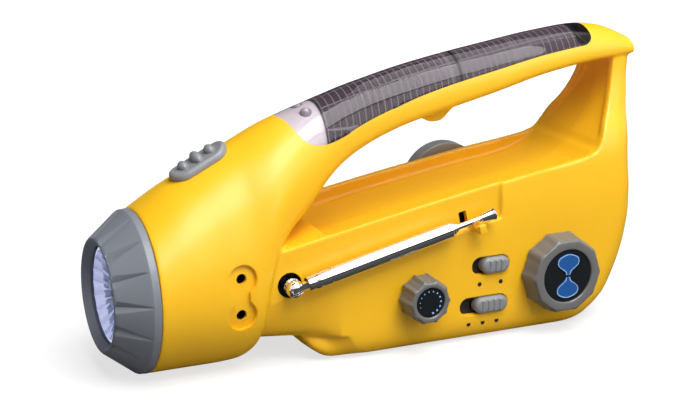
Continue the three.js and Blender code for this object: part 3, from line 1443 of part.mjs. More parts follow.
add('solar_window', solarWindow(), 'clear');
add('solar_cell_front', solarCell(cellFrontX, cellBendX - cellGap / 2), 'cell');
add('solar_cell_rear', solarCell(cellBendX + cellGap / 2, cellRearX), 'cell');
add('charge_bulb_near', chargeBulb(-1), 'bulb');
add('charge_bulb_far', chargeBulb(1), 'bulb');

add('volume_knob', volumeKnob(), 'knob');
add('volume_dial', volumeDial(), 'dial');
add('volume_pot', potentiometer(volumeX, volumeZ, 0), 'black');
add('tuning_knob', tuningKnob(), 'knob');
add('tuning_dial', tuningDial(), 'dial');
add('tuning_key_upper', tuningKey(1), 'key');
add('tuning_key_lower', tuningKey(-1), 'key');
add('tuning_pot', potentiometer(tuningX, tuningZ, tuningPostRadius + clearance), 'black');
add('upper_slider', slider(upperSlotX, upperSlotZ, upperSlotLength, upperSliderLength, 3), 'knob');
add('lower_slider', slider(lowerSlotX, lowerSlotZ, lowerSlotLength, lowerSliderLength, 4), 'knob');
add('upper_switch', slideSwitch(upperSlotX, upperSlotZ, upperSlotLength, upperSliderLength), 'black');
add('lower_switch', slideSwitch(lowerSlotX, lowerSlotZ, lowerSlotLength, lowerSliderLength), 'black');
add('phone_jack', jack(jackUpperZ), 'black');
add('power_jack', jack(jackLowerZ), 'black');

const antenna = antennaFrame();
antenna.add(piece('antenna_mount', antennaMount(), 'chrome'));
antenna.add(piece('antenna_pin', antennaPin(), 'steel'));
antenna.add(piece('antenna_tube', antennaTube(), 'chrome'));
antenna.add(piece('antenna_section_2', antennaSection(1), 'chrome'));
antenna.add(piece('antenna_section_3', antennaSection(2), 'chrome'));
antenna.add(piece('antenna_rod', antennaRod(), 'chrome'));
model.add(antenna);

const crank = crankFrame();
crank.add(piece('crank_arm', crankArm(), 'knob'));
crank.add(piece('crank_cap', crankCap(), 'knob'));
crank.add(piece('crank_shaft', crankShaft(), 'steel'));
crank.add(piece('grip_pin', gripPin(), 'steel'));
crank.add(piece('grip_stem', gripStem(), 'steel'));
crank.add(piece('grip_sleeve', gripSleeve(), 'knob'));
model.add(crank);

add('gear_plate', gearPlate(), 'steel');
add('idler_gear', idlerGear(), 'gear');
add('dynamo_rotor', dynamoRotor(), 'steel');
add('dynamo_can', dynamoCan(), 'steel');
add('speaker_frame', speakerFrame(), 'steel');
add('speaker_cone', speakerCone(), 'cone');
add('speaker_magnet', speakerMagnet(), 'steel');
add('main_board', mainBoard(), 'board');
add('battery_pack', batteryPack(), 'black');
add('battery_door', batteryDoor(), 'shell');
add('door_screw', doorScrew(), 'steel');

// The part stands on the ground, centred on its own plan outline.
const bounds = new THREE.Box3().setFromObject(model, true);
const centre = bounds.getCenter(new THREE.Vector3());
model.position.set(-centre.x, -centre.y, -bounds.min.z);

const part = new THREE.Group();
part.add(model);

export default part;
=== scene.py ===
"""Looks of a solar radio flashlight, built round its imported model.

Shapes are made in millimetres in the modelling frame: x from the barrel's front rim towards the
rear, y from the seam towards the crank side, z up from the ground. A finished piece is settled
into the row frame, in metres.
"""

import math

import bmesh
import bpy
import numpy as np
from mathutils import Matrix, Vector


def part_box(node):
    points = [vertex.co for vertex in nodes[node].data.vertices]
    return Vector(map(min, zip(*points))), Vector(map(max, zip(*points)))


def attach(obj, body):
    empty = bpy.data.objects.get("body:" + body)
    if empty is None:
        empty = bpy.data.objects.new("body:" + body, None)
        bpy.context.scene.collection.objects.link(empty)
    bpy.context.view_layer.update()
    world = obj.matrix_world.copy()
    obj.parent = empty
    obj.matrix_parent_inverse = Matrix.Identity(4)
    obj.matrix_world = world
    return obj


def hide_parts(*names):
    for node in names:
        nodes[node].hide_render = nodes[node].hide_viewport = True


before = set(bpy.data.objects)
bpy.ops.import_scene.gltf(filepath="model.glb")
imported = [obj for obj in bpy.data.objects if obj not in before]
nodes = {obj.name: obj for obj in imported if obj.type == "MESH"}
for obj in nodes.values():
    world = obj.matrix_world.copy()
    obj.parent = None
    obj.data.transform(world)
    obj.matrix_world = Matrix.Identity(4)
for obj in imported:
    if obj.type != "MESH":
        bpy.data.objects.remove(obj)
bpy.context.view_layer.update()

# Sizes of the body, in millimetres

LENGTH = 215.0
HEIGHT = 124.0
BARREL = 32.0
HOUSING_HALF = 28.0
WALL = 2.6
CLEAR = 0.3
SKIN_SEAM = 0.04
FAR = 60.0
OVER = 6.0
VOXEL = 0.62
SMOOTH_ROUNDS = 7

# Sections of the head and handle: bottom x, bottom z, top x, top z, half width, widest level, and
# the powers of the upper and lower halves, as shares of LENGTH, HEIGHT and BARREL.
SWEEP = [
    (0.000, 0.000, 0.000, 0.516, 1.000, 0.50, 2.0, 2.0),
    (0.056, 0.000, 0.051, 0.576, 1.000, 0.46, 2.0, 2.0),
    (0.112, 0.002, 0.100, 0.623, 0.988, 0.43, 2.0, 2.1),
    (0.160, 0.010, 0.140, 0.659, 0.972, 0.42, 2.0, 2.3),
    (0.194, 0.056, 0.172, 0.687, 0.950, 0.40, 2.0, 2.7),
    (0.205, 0.155, 0.200, 0.711, 0.912, 0.40, 2.0, 3.2),
    (0.216, 0.258, 0.228, 0.734, 0.863, 0.39, 2.0, 3.4),
    (0.237, 0.347, 0.256, 0.756, 0.787, 0.38, 2.0, 3.2),
    (0.267, 0.415, 0.284, 0.775, 0.706, 0.36, 2.0, 3.0),
    (0.300, 0.464, 0.312, 0.793, 0.625, 0.33, 2.0, 2.8),
    (0.328, 0.515, 0.340, 0.810, 0.550, 0.30, 2.0, 2.5),
    (0.358, 0.573, 0.370, 0.827, 0.487, 0.27, 2.0, 2.6),
    (0.395, 0.625, 0.407, 0.847, 0.447, 0.25, 2.0, 2.8),
    (0.447, 0.674, 0.456, 0.869, 0.425, 0.23, 2.0, 3.0),
    (0.512, 0.715, 0.516, 0.894, 0.422, 0.22, 2.0, 3.0),
    (0.595, 0.750, 0.600, 0.922, 0.422, 0.22, 2.0, 3.0),
    (0.698, 0.792, 0.702, 0.950, 0.422, 0.22, 2.0, 3.0),
    (0.800, 0.838, 0.805, 0.976, 0.422, 0.22, 2.0, 3.0),
    (0.893, 0.866, 0.895, 0.990, 0.422, 0.22, 2.0, 3.0),
    (0.949, 0.877, 0.949, 0.980, 0.419, 0.22, 2.1, 3.0),
    (1.000, 0.887, 1.000, 0.944, 0.412, 0.30, 2.6, 3.0),
]
# Level outlines of the radio housing and rear post: z, front x, rear x, half width, rear corner
# radius, and the front end's share of the half width.
LEVELS = [
    (0.000, 0.344, 0.847, 0.679, 0.357, 0.92),
    (0.010, 0.323, 0.874, 0.832, 0.429, 0.92),
    (0.026, 0.308, 0.893, 0.918, 0.464, 0.90),
    (0.048, 0.293, 0.908, 0.968, 0.500, 0.86),
    (0.070, 0.284, 0.921, 0.989, 0.500, 0.80),
    (0.088, 0.274, 0.930, 0.996, 0.500, 0.72),
    (0.095, 0.177, 0.934, 0.998, 0.500, 0.58),
    (0.115, 0.177, 0.941, 1.000, 0.500, 0.73),
    (0.150, 0.177, 0.951, 1.000, 0.500, 0.83),
    (0.200, 0.177, 0.963, 1.000, 0.500, 0.90),
]
# Rows higher up have one front end: z, rear x, half width and corner radius
LEVELS += [(z, 0.177, rear, half, corner, 0.94) for z, rear, half, corner in (
    (0.260, 0.974, 1.000, 0.500), (0.320, 0.981, 1.000, 0.500), (0.379, 0.985, 1.000, 0.500),
    (0.452, 0.984, 0.993, 0.482), (0.516, 0.981, 0.971, 0.464), (0.581, 0.979, 0.936, 0.429),
    (0.645, 0.980, 0.857, 0.375), (0.718, 0.986, 0.664, 0.304), (0.774, 0.991, 0.557, 0.250),
    (0.831, 0.993, 0.486, 0.214), (0.887, 0.995, 0.450, 0.161), (0.919, 0.995, 0.436, 0.143),
)]
# Upper edge of the two lips, floor of the trough and finger bump, as x and z shares.
LIP = [
    (0.177, 0.373), (0.279, 0.408), (0.419, 0.455), (0.558, 0.498), (0.698, 0.538), (0.865, 0.582),
    (0.886, 0.599), (0.898, 0.629), (0.910, 0.673), (0.927, 0.726), (0.944, 0.806), (0.954, 0.900),
]
TROUGH = [
    (0.326, 0.379), (0.419, 0.410), (0.558, 0.454), (0.698, 0.494), (0.809, 0.524), (0.856, 0.556),
    (0.893, 0.617), (0.926, 0.698), (0.953, 0.798), (0.967, 0.900),
]
BUMP = [(0.540, 0.745), (0.556, 0.727), (0.570, 0.715), (0.588, 0.717), (0.622, 0.770)]
SCREWS = [(0.258, 0.170), (0.558, 0.068), (0.884, 0.068), (0.954, 0.600), (0.955, 0.915)]
# Front end of a level: share of its run, with the widths there between nothing, front and full.
FRONT_RUN = (0.0, 0.06, 0.22, 0.53, 1.0)
FRONT_WIDTH = (0.5, 0.9)
FRONT_SWELL = (0.0, 0.25, 1.0)
SWELL_END = 0.345
SHORT_RUN = 0.084
TROUGH_LIP = 3.6
BUMP_HALF = 8.5

# Window and cells: the window's half outline, as shares of LENGTH and BARREL
WINDOW = [
    (0.2725, 0.000), (0.2744, 0.094), (0.2777, 0.188), (0.2814, 0.288), (0.2856, 0.381), (0.2935, 0.463),
    (0.3033, 0.497), (0.3140, 0.506), (0.3353, 0.491), (0.3614, 0.459), (0.4028, 0.425), (0.4744, 0.400),
    (0.6121, 0.384), (0.7442, 0.381), (0.8700, 0.381), (0.8884, 0.380), (0.8990, 0.362), (0.9052, 0.325),
    (0.9070, 0.262), (0.9070, 0.000),
]
WINDOW_LEDGE = 0.4
WINDOW_THICK = 0.5
PALE_NOSE = 0.361 * LENGTH
CELLS = [(0.347, 0.620), (0.626, 0.874)]
CELL_DROP = 0.08
CHARGE_BULBS = (0.323 * LENGTH, 3.8, 2.1)
CELL_FLOOR = 0.33
LEDGE_SHARE = 0.46
EDGE_SHARE = 0.48
STATION_SHARE = 0.25

# Bezel and lamp
BEZEL_LENGTH = 15.5
BEZEL_FRONT = 22.5
BEZEL_BAND = 3.4
BEZEL_RIM = 1.7
GROOVES = 15
GROOVE_DEPTH = 1.5
GROOVE_HALF = 2.6
SPIGOT_LENGTH = 4.0
SPIGOT = 28.5
LAMP_BORE = 25.8
LAMP_DEPTH = 9.6
LENS_X = -12.3
LENS = 20.6
LENS_THICK = 2.0
BULBS = 5
BULB = 2.5
BULB_CIRCLE = 5.8
LAMP_BOARD_X = 7.7

# Controls
SWITCH_X = 0.123 * LENGTH
SWITCH_SIZE = (25.0, 13.5)
VOLUME = (0.503 * LENGTH, 0.190 * HEIGHT)
VOLUME_STEM = 3.0
TUNING = (0.797 * LENGTH, 0.210 * HEIGHT)
TUNING_STEM = 4.6
UPPER_SLOT = (0.652 * LENGTH, 0.260 * HEIGHT, 17.0, 12.6, 3)
LOWER_SLOT = (0.639 * LENGTH, 0.126 * HEIGHT, 21.8, 15.0, 4)
SLOT_HEIGHT = 7.4
JACKS = [(0.149 * LENGTH, 0.331 * HEIGHT - drop) for drop in (0, 14.3)]
JACK_LOBE = 5.6
JACK_WAIST = 2.9
JACK_DEPTH = 1.3
JACK_HOLE = 2.1

# Antenna
PIVOT = (0.247 * LENGTH, 0.281 * HEIGHT)
ANTENNA_OUT = 31.0
ANTENNA_RISE = math.radians(13)
TUBE = 3.25
TUBE_START = 5.2
TUBE_END = 68.5
TUBE_STEP = 0.7
ROD_END = 82.5
RECESS_END = 93.0

# Crank side
CRANK = (0.693 * LENGTH, 0.415 * HEIGHT)
CRANK_ANGLE = math.radians(162)
SPEAKER = (0.833 * LENGTH, 0.266 * HEIGHT)
SPEAKER_RADIUS = 16.5
DOOR = (0.447 * LENGTH, 0.210 * HEIGHT)
DOOR_SIZE = (42.0, 28.0)

MM = 0.001
FRONT_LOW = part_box("bezel")[0]
SEAM_LEVEL = (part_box("near_shell")[1].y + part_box("far_shell")[0].y) / 2
SHIFT = Vector((FRONT_LOW.x / MM + BEZEL_LENGTH, SEAM_LEVEL / MM, FRONT_LOW.z / MM))
ROW = Matrix.Scale(MM, 4) @ Matrix.Translation(SHIFT)
TO_Y = Matrix.Rotation(math.pi / 2, 4, "Z")
TO_Z = Matrix.Rotation(-math.pi / 2, 4, "Y")
FACING = Matrix.Rotation(math.pi / 2, 4, "X")
AXIS = Matrix.Translation((0, 0, BARREL))


# Mesh tools

def linked(name, mesh):
    piece = bpy.data.objects.new(name, mesh)
    bpy.context.scene.collection.objects.link(piece)
    return piece


def with_settings(thing, settings):
    for label, value in settings.items():
        setattr(thing, label, value)
    return thing


def solid(name, points, faces, matrix=None):
    """Closed mesh with its doubles merged and its faces turned outwards."""
    mesh = bpy.data.meshes.new(name)
    mesh.from_pydata([tuple(p) for p in points], [], [tuple(f) for f in faces])
    made = bmesh.new()
    made.from_mesh(mesh)
    bmesh.ops.remove_doubles(made, verts=made.verts, dist=1e-4)
    bmesh.ops.dissolve_degenerate(made, edges=made.edges, dist=1e-5)
    bmesh.ops.recalc_face_normals(made, faces=made.faces)
    made.to_mesh(mesh)
    made.free()
    if matrix is not None:
        mesh.transform(matrix)
    return linked(name, mesh)


def full_turn(steps):
    return np.linspace(0, 2 * math.pi, steps, endpoint=False)


def band(first, second, count):
    """Faces between two rings, given by the numbers of their first points."""
    k = np.arange(count)
    n = (k + 1) % count
    return np.stack([first + k, first + n, second + n, second + k], 1).tolist()


def bands(rings):
    rows, count = rings.shape[:2]
    return [face for i in range(rows - 1) for face in band(i * count, (i + 1) * count, count)]


def loft(name, rings, matrix=None):
    """Closed form through rings that have the same count of points, with flat ends."""
    rings = np.asarray(rings, float)
    rows, count = rings.shape[:2]
    k = np.arange(count)
    ends = [k[::-1].tolist(), (k + (rows - 1) * count).tolist()]
    return solid(name, rings.reshape(-1, 3), bands(rings) + ends, matrix)


def hoop(name, rings):
    """Closed form about the barrel's axis, through rings that come back to the first one."""
    rings = np.asarray([*rings, rings[0]], float)
    return solid(name, rings.reshape(-1, 3), bands(rings), AXIS)


def circle(x, radius, angle):
    """Ring about the x axis; the radius may change along it."""
    return np.stack([np.full(len(angle), x), radius * np.cos(angle), radius * np.sin(angle)], 1)


def revolved(name, profile, steps=96, matrix=None):
    """Turns a closed profile of (x, radius) points about the x axis."""
    count = len(profile)
    faces = []
    for i in range(count):
        j = (i + 1) % count
        if profile[i][1] > 0 or profile[j][1] > 0:
            faces += band(i * steps, j * steps, steps)
    rings = [circle(x, radius, full_turn(steps)) for x, radius in profile]
    return solid(name, np.concatenate(rings), faces, matrix)


def arc(x, radius, size, first, count):
    """Points of a profile on an arc about (x, radius), up to its far side along x."""
    angles = np.linspace(first, math.pi / 2, count)
    return [(x + size * math.sin(a), radius + size * math.cos(a)) for a in angles]


def at(x, y, z):
    return Matrix.Translation((x, y, z))


def rod(name, radius, low, high, steps=96, matrix=None):
    return revolved(name, [(low, 0), (low, radius), (high, radius), (high, 0)], steps, matrix)


def rod_x(name, radius, low, high):
    return rod(name, radius, low, high, 96, AXIS)


def rod_y(name, place, radius, low, high, steps=64):
    return rod(name, radius, low, high, steps, at(place[0], 0, place[1]) @ TO_Y)


def drawn(outline, level, along="y"):
    """Outline as a ring of points at a level of y or z."""
    first, second = np.asarray(outline, float).T
    flat = np.full(len(first), level)
    return np.stack([first, flat, second] if along == "y" else [first, second, flat], 1)


def prism(name, outline, low, high, along="y", matrix=None):
    return loft(name, [drawn(outline, level, along) for level in (low, high)], matrix)


def slab(name, low, high, matrix=None):
    outline = [(low[0], low[2]), (high[0], low[2]), (high[0], high[2]), (low[0], high[2])]
    return prism(name, outline, low[1], high[1], matrix=matrix)


def pill(name, place, length, height, levels, steps=18):
    """Bar with round ends in the x-z plane, drawn in by an inset at each level of y."""
    return loft(name, [
        drawn(stadium(*place, length - 2 * inset, height - 2 * inset, steps), y) for inset, y in levels])


def modified(piece, kind, **settings):
    with_settings(piece.modifiers.new(kind.lower(), kind), settings)
    return piece


def baked(piece):
    """Applies the piece's modifiers."""
    graph = bpy.context.evaluated_depsgraph_get()
    mesh = bpy.data.meshes.new_from_object(piece.evaluated_get(graph))
    piece.modifiers.clear()
    piece.data = mesh
    return piece


def combined(piece, tools, operation):
    for tool in tools:
        baked(modified(piece, "BOOLEAN", solver="MANIFOLD", operation=operation, object=tool))
        bpy.data.objects.remove(tool)
    return piece


def cut(piece, *tools):
    return combined(piece, tools, "DIFFERENCE")


def join(piece, *tools):
    return combined(piece, tools, "UNION")


def keep(piece, *tools):
    return combined(piece, tools, "INTERSECT")


def copied(piece, name):
    return linked(name, piece.data.copy())


def eased(rows, steps):
    """Smooth rows between the given ones, which never swing past them."""
    rows = np.asarray(rows, float)
    gaps = np.diff(rows, axis=0)
    before, after = gaps[:-1], gaps[1:]
    total = np.where(before * after > 0, before + after, 1)
    slopes = np.zeros_like(rows)
    slopes[1:-1] = np.where(before * after > 0, 2 * before * after / total, 0)
    slopes[0], slopes[-1] = gaps[0], gaps[-1]
    t = np.linspace(0, 1, steps, endpoint=False)[None, :, None]
    a, b, m, n = rows[:-1, None], rows[1:, None], slopes[:-1, None], slopes[1:, None]
    curve = (2 * t**3 - 3 * t**2 + 1) * a + (t**3 - 2 * t**2 + t) * m
    curve = curve + (3 * t**2 - 2 * t**3) * b + (t**3 - t**2) * n
    return np.vstack([curve.reshape(-1, rows.shape[1]), rows[-1]])


def scaled(line):
    return [(x * LENGTH, z * HEIGHT) for x, z in line]


# Forms of the body

def sweep_section(row, inset, around):
    bx, bz, tx, tz, half, level, upper, lower = row
    bottom = np.array([bx * LENGTH, 0, bz * HEIGHT])
    top = np.array([tx * LENGTH, 0, tz * HEIGHT])
    span = np.linalg.norm(top - bottom)
    up = (top - bottom) / span
    height = span - 2 * inset
    angle = full_turn(around)
    across, rise = np.cos(angle), np.sin(angle)
    power = np.where(rise >= 0, upper, lower)
    reach = np.where(rise >= 0, 1 - level, level) * height
    side = (half * BARREL - inset) * np.sign(across) * np.abs(across) ** (2 / power)
    along = level * height + reach * np.sign(rise) * np.abs(rise) ** (2 / power)
    ring = bottom + (inset + along)[:, None] * up
    ring[:, 1] = side
    return ring


def sweep_form(inset=0.0, around=104, steps=7):
    return loft("sweep", [sweep_section(row, inset, around) for row in eased(SWEEP, steps)])


def top_line(x):
    rows = eased(SWEEP, 8)
    xs, zs = rows[:, 2] * LENGTH, rows[:, 3] * HEIGHT
    z = np.interp(x, xs, zs)
    return z, (np.interp(x + 1, xs, zs) - z)


def level_ring(row, inset, corner_steps):
    z, front, rear, half, corner, waist = row
    z = z * HEIGHT
    front, rear = front * LENGTH + inset, rear * LENGTH - inset
    half = half * HOUSING_HALF - inset
    waist = waist * half
    corner = max(min(corner * HOUSING_HALF - inset, half), CLEAR)
    run = max(SWELL_END * LENGTH - front, SHORT_RUN * LENGTH)
    widths = [w * waist for w in FRONT_WIDTH] + [waist + s * (half - waist) for s in FRONT_SWELL]
    shape = eased(list(zip(FRONT_RUN, widths)), 5)
    side = [(front + share * run, -width) for share, width in shape]
    for k in range(corner_steps + 1):
        angle = k / corner_steps * math.pi / 2
        side.append((rear - corner + corner * math.sin(angle), corner - half - corner * math.cos(angle)))
    back = [(x, -y) for x, y in reversed(side)]
    return [(x, y, z) for x, y in side + back]


COARSE = (2, 6)


def level_form(inset=0.0, steps=4, corner_steps=14):
    """Housing and rear post; inner forms take the coarse steps."""
    return loft("levels", [level_ring(row, inset, corner_steps) for row in eased(LEVELS, steps)])


def under(line):
    points = [tuple(p) for p in eased(line, 6)]
    (first, _), (last, _) = points[0], points[-1]
    rear, roof = LENGTH + OVER, HEIGHT + OVER
    return points + [(last, roof), (rear, roof), (rear, -OVER), (first, -OVER)]


def over(line):
    points = [tuple(p) for p in eased(line, 6)]
    roof = HEIGHT + OVER
    return points + [(points[-1][0], roof), (points[0][0], roof)]


def above(share):
    """Side view of everything above a level of the handle's sections."""
    rows = [row for row in eased(SWEEP, 4) if row[2] > STATION_SHARE]
    line = [(
        (row[0] + share * (row[2] - row[0])) * LENGTH,
        (row[1] + share * (row[3] - row[1])) * HEIGHT) for row in rows]
    roof = HEIGHT + OVER
    line = [(line[0][0] - OVER, line[0][1])] + line + [(line[-1][0] + OVER, line[-1][1])]
    return prism("above", line + [(line[-1][0], roof), (line[0][0], roof)], -FAR, FAR)


def antenna_point(along, across):
    c, s = math.cos(ANTENNA_RISE), math.sin(ANTENNA_RISE)
    return (PIVOT[0] + along * c - across * s, PIVOT[1] + along * s + across * c)


RECESS_Y = HOUSING_HALF - 2.25


def recess_outline(grow):
    low = -(TUBE + 1.1 + grow)
    first, last = antenna_point(-9 - grow, low), antenna_point(RECESS_END + grow, low)
    roof = HEIGHT * TROUGH[-1][1]
    return [first, last, (last[0], roof), (first[0], roof)]


def raw_body():
    """Head, handle, housing with its trough, and finger bump, with the antenna's recess."""
    body = sweep_form()
    housing = keep(level_form(), prism("under", under(scaled(LIP)), -FAR, FAR))
    trough = keep(level_form(TROUGH_LIP), prism("over", over(scaled(TROUGH)), -FAR, FAR))
    cut(housing, trough)
    bump = prism("bump", eased(scaled(BUMP), 5), -BUMP_HALF, BUMP_HALF)
    join(body, housing, bump)
    recess = cut(prism("recess", recess_outline(0), -FAR, -RECESS_Y), sweep_form(-CLEAR))
    return cut(body, recess)


def softened(body):
    """Even skin with every edge and inner corner rounded, as moulded plastic has."""
    modified(body, "REMESH", mode="VOXEL", voxel_size=VOXEL)
    return baked(modified(body, "SMOOTH", factor=0.5, iterations=SMOOTH_ROUNDS))


def window_plan(grow):
    side = eased(WINDOW, 4) * (LENGTH, BARREL)
    outline = np.vstack([side * (1, -1), side[-2:0:-1]])
    run = np.roll(outline, -1, 0) - np.roll(outline, 1, 0)
    outward = np.stack([run[:, 1], -run[:, 0]], 1) / np.linalg.norm(run, axis=1)[:, None]
    return outline + grow * outward


def window_prism(grow):
    return prism("window", window_plan(grow), 0, HEIGHT + OVER, "z")


def window_pocket():
    pocket = keep(window_prism(0.12), above(LEDGE_SHARE))
    return join(pocket, keep(window_prism(-WINDOW_LEDGE), above(CELL_FLOOR)))


def stadium(x, z, length, height, steps=18):
    radius = height / 2
    reach = length / 2 - radius
    points = []
    for side in (1, -1):
        for k in range(steps + 1):
            angle = (k / steps - 0.5) * math.pi + (0 if side > 0 else math.pi)
            points.append((x + side * reach + radius * math.cos(angle), z + radius * math.sin(angle)))
    return points


def corner_box(x, z, length, height, radius, steps=8):
    points = []
    for quarter, (sx, sz) in enumerate(((1, 1), (-1, 1), (-1, -1), (1, -1))):
        for k in range(steps + 1):
            angle = (quarter + k / steps) * math.pi / 2
            points.append((
                x + sx * (length / 2 - radius) + radius * math.cos(angle),
                z + sz * (height / 2 - radius) + radius * math.sin(angle)))
    return points


def door_plan(grow, tab=0.0):
    return corner_box(
        DOOR[0] - tab / 2, DOOR[1], DOOR_SIZE[0] + 2 * grow - tab, DOOR_SIZE[1] + 2 * grow, 3 + grow)


SCREW_SITES = scaled(SCREWS)
SCREW_BOSS = 3.4
# Rods, given by radius, low end, high end and steps
SCREW_HEAD = (2.9, 5.9, FAR, 32)
SCREW_SHANK = (1.6, -8.3, 6.2, 24)
LAMP_REAR = (19, 0, 30)
SWITCH_SLOT = ((-6.8, -4.3, -11.3), (3.3, 4.3, 9))
CAVITY = (64, 199)
CAVITY_CHAMFER = (70, 8.6)
DOOR_FRAME = 5.1


def cavity():
    """Room inside the housing, less the walls behind the antenna and round the battery door."""
    front, rear = CAVITY
    chamfer_x, chamfer_z = CAVITY_CHAMFER
    line = [(x, z - WALL) for x, z in eased(scaled(TROUGH), 3) if front < x < rear - 3]
    points = [(front, line[0][1])] + line + [
        (rear, line[-1][1]), (rear, WALL), (chamfer_x, WALL), (front, chamfer_z)]
    room = keep(level_form(WALL, *COARSE), prism("room", points, -FAR, FAR))
    bosses = [rod_y("boss", site, SCREW_BOSS, -FAR, FAR, 20) for site in SCREW_SITES]
    return cut(
        room, prism("wall", recess_outline(WALL), -FAR, WALL - RECESS_Y),
        prism("frame", door_plan(WALL), HOUSING_HALF - DOOR_FRAME, FAR), *bosses)


def on_top_line():
    z, slope = top_line(SWITCH_X)
    return at(SWITCH_X, 0, z) @ Matrix.Rotation(-math.atan(slope), 4, "Y")


def carved(body):
    """Crisp openings that both sides share."""
    cut(body, cavity(), window_pocket())
    join(body, rod_x("spigot", SPIGOT, -SPIGOT_LENGTH, OVER))
    cut(body, rod_x("bore", LAMP_BORE, -SPIGOT_LENGTH - OVER, LAMP_DEPTH), rod_x("rear", *LAMP_REAR))
    cut(body, slab("slot", *SWITCH_SLOT, on_top_line()))
    for site in SCREW_SITES:
        cut(body, rod_y("head", site, *SCREW_HEAD), rod_y("shank", site, *SCREW_SHANK))
    return body


def dog_bone(grow, depth):
    """Hourglass recess round the two jacks, to a depth under the head's skin."""
    x, top = JACKS[0]
    low = JACKS[1][1]
    lobe, waist = JACK_LOBE + grow, JACK_WAIST + grow
    levels = np.linspace(low - lobe, top + lobe, 61)[1:-1]
    side = []
    for z in levels:
        centre = min(max(z, low), top) if z < low or z > top else (low if z < (low + top) / 2 else top)
        round_half = math.sqrt(max(lobe**2 - (z - centre) ** 2, 0))
        if low < z < top:
            round_half = (round_half**6 + waist**6) ** (1 / 6)
        side.append((round_half, z))
    outline = [(x, low - lobe)] + [(x + w, z) for w, z in side] + [(x, top + lobe)]
    outline += [(x - w, z) for w, z in reversed(side)]
    return cut(prism("bone", outline, -FAR, 0), sweep_form(depth))


def one_side(body, name, low, high):
    """Part of the body between two levels of y."""
    return keep(copied(body, name), slab("side", (-20, low, -20), (240, high, 160)))


# Growth of an opening's outline and its depth, step by step, which eases the opening's edge
JACK_STEPS = ((0.6, 0.08), (0.35, 0.28), (0.15, 0.65), (0.0, JACK_DEPTH))
SLOT_STEPS = ((0.35, 0.25), (0.0, 12.0))
# Seats of the jacks and the antenna, its peg, the speaker's slats, the door and the shaft; THROUGH is
# a level behind the wall
JACK_SEAT = (4.1, -27.4, -14)
PIVOT_SEAT = 5.0
THROUGH = -19
PEG = 3.0
PEG_HEIGHT = 3.6
SLATS = 7
SLAT_PITCH = 3.8
SLAT_HEIGHT = 1.6
SPEAKER_RIM = 1.9
DOOR_SHANK = 1.5
DOOR_THICK = 2.0
DOOR_GAP = 0.18
SHAFT_BORE = 2.9


def near_skin(body):
    skin = one_side(body, "near_skin", -FAR, -SKIN_SEAM)
    for grow, depth in JACK_STEPS:
        cut(skin, dog_bone(grow, depth))
    cut(skin, cut(dog_bone(0.1, JACK_DEPTH + 0.35), dog_bone(-0.5, JACK_DEPTH - 1)))
    for place in JACKS:
        cut(skin, rod_y("jack", place, JACK_HOLE, -FAR, -20), rod_y("seat", place, *JACK_SEAT))
    for place, radius in ((VOLUME, VOLUME_STEM), (TUNING, TUNING_STEM)):
        cut(skin, rod_y("stem", place, radius + CLEAR, -FAR, THROUGH))
    for x, z, length, _, _ in (UPPER_SLOT, LOWER_SLOT):
        for grow, depth in SLOT_STEPS:
            hole = stadium(x, z, length + 2 * grow, SLOT_HEIGHT + 2 * grow)
            cut(skin, prism("slot", hole, -FAR, depth - HOUSING_HALF))
    cut(skin, rod_y("pivot", PIVOT, PIVOT_SEAT, -FAR, -21.2), rod_y("stem", PIVOT, 2.5, -FAR, -12.2))

    def antenna_prism(name, low, high, deep, shallow):
        corners = [(low[0], low[1]), (high[0], low[1]), (high[0], high[1]), (low[0], high[1])]
        return prism(name, [antenna_point(*p) for p in corners], deep, shallow)

    end = ROD_END - PEG - 2 * CLEAR
    cut(skin, antenna_prism("notch", (end - 3.4, -TUBE), (end, 3.4), -FAR, THROUGH))
    start, top = ROD_END - PEG - CLEAR, 3 * TUBE_STEP - TUBE - CLEAR
    seat = TUBE - TUBE_STEP + CLEAR
    peg = antenna_prism(
        "peg", (start, top - PEG_HEIGHT), (start + PEG, top), -ANTENNA_OUT - seat - 1.2, CLEAR - RECESS_Y)
    cut(peg, rod("bed", seat, 0, FAR * 2, 64, antenna_matrix()))
    modified(peg, "BEVEL", width=0.3, segments=3, limit_method="ANGLE", angle_limit=math.radians(30))
    return join(skin, baked(peg))


def door_screw():
    return DOOR[0] + (DOOR_SIZE[0] - 8 + 1) / 2, DOOR[1]


def far_skin(body):
    skin = one_side(body, "far_skin", SKIN_SEAM, FAR)
    for k in range(SLATS):
        offset = (k - SLATS // 2) * SLAT_PITCH
        half = math.sqrt((SPEAKER_RADIUS - SPEAKER_RIM - CLEAR) ** 2 - offset**2)
        for grow, low in ((0.3, HOUSING_HALF - 0.3), (0.0, HOUSING_HALF - WALL - 2 * CLEAR)):
            bar = stadium(SPEAKER[0], SPEAKER[1] + offset, 2 * (half + grow), SLAT_HEIGHT + 2 * grow, 8)
            cut(skin, prism("bar", bar, low, FAR))
    rim = cut(prism("rim", door_plan(DOOR_GAP), 0, FAR), level_form(DOOR_THICK + CLEAR, *COARSE))
    hole = prism("hole", door_plan(-2, 6), 17, FAR)
    shank = rod_y("screw", door_screw(), DOOR_SHANK, 22, FAR, 24)
    return cut(skin, rim, hole, shank, rod_y("shaft", CRANK, SHAFT_BORE, 0, FAR))


def battery_door(body):
    door = keep(copied(body, "door_panel"), prism("plan", door_plan(0.0), 0, FAR))
    cut(door, level_form(DOOR_THICK, *COARSE))
    place = door_screw()
    cut(door, rod_y("head", place, 2.6, 26.4, FAR, 32), rod_y("shank", place, DOOR_SHANK, 0, FAR, 24))
    for k in range(3):
        x = DOOR[0] - DOOR_SIZE[0] / 2 + 4 + 2 * k
        cut(door, prism("mark", stadium(x, DOOR[1], 1.0, 12), HOUSING_HALF - 0.45, FAR))
    return door


# Node trees

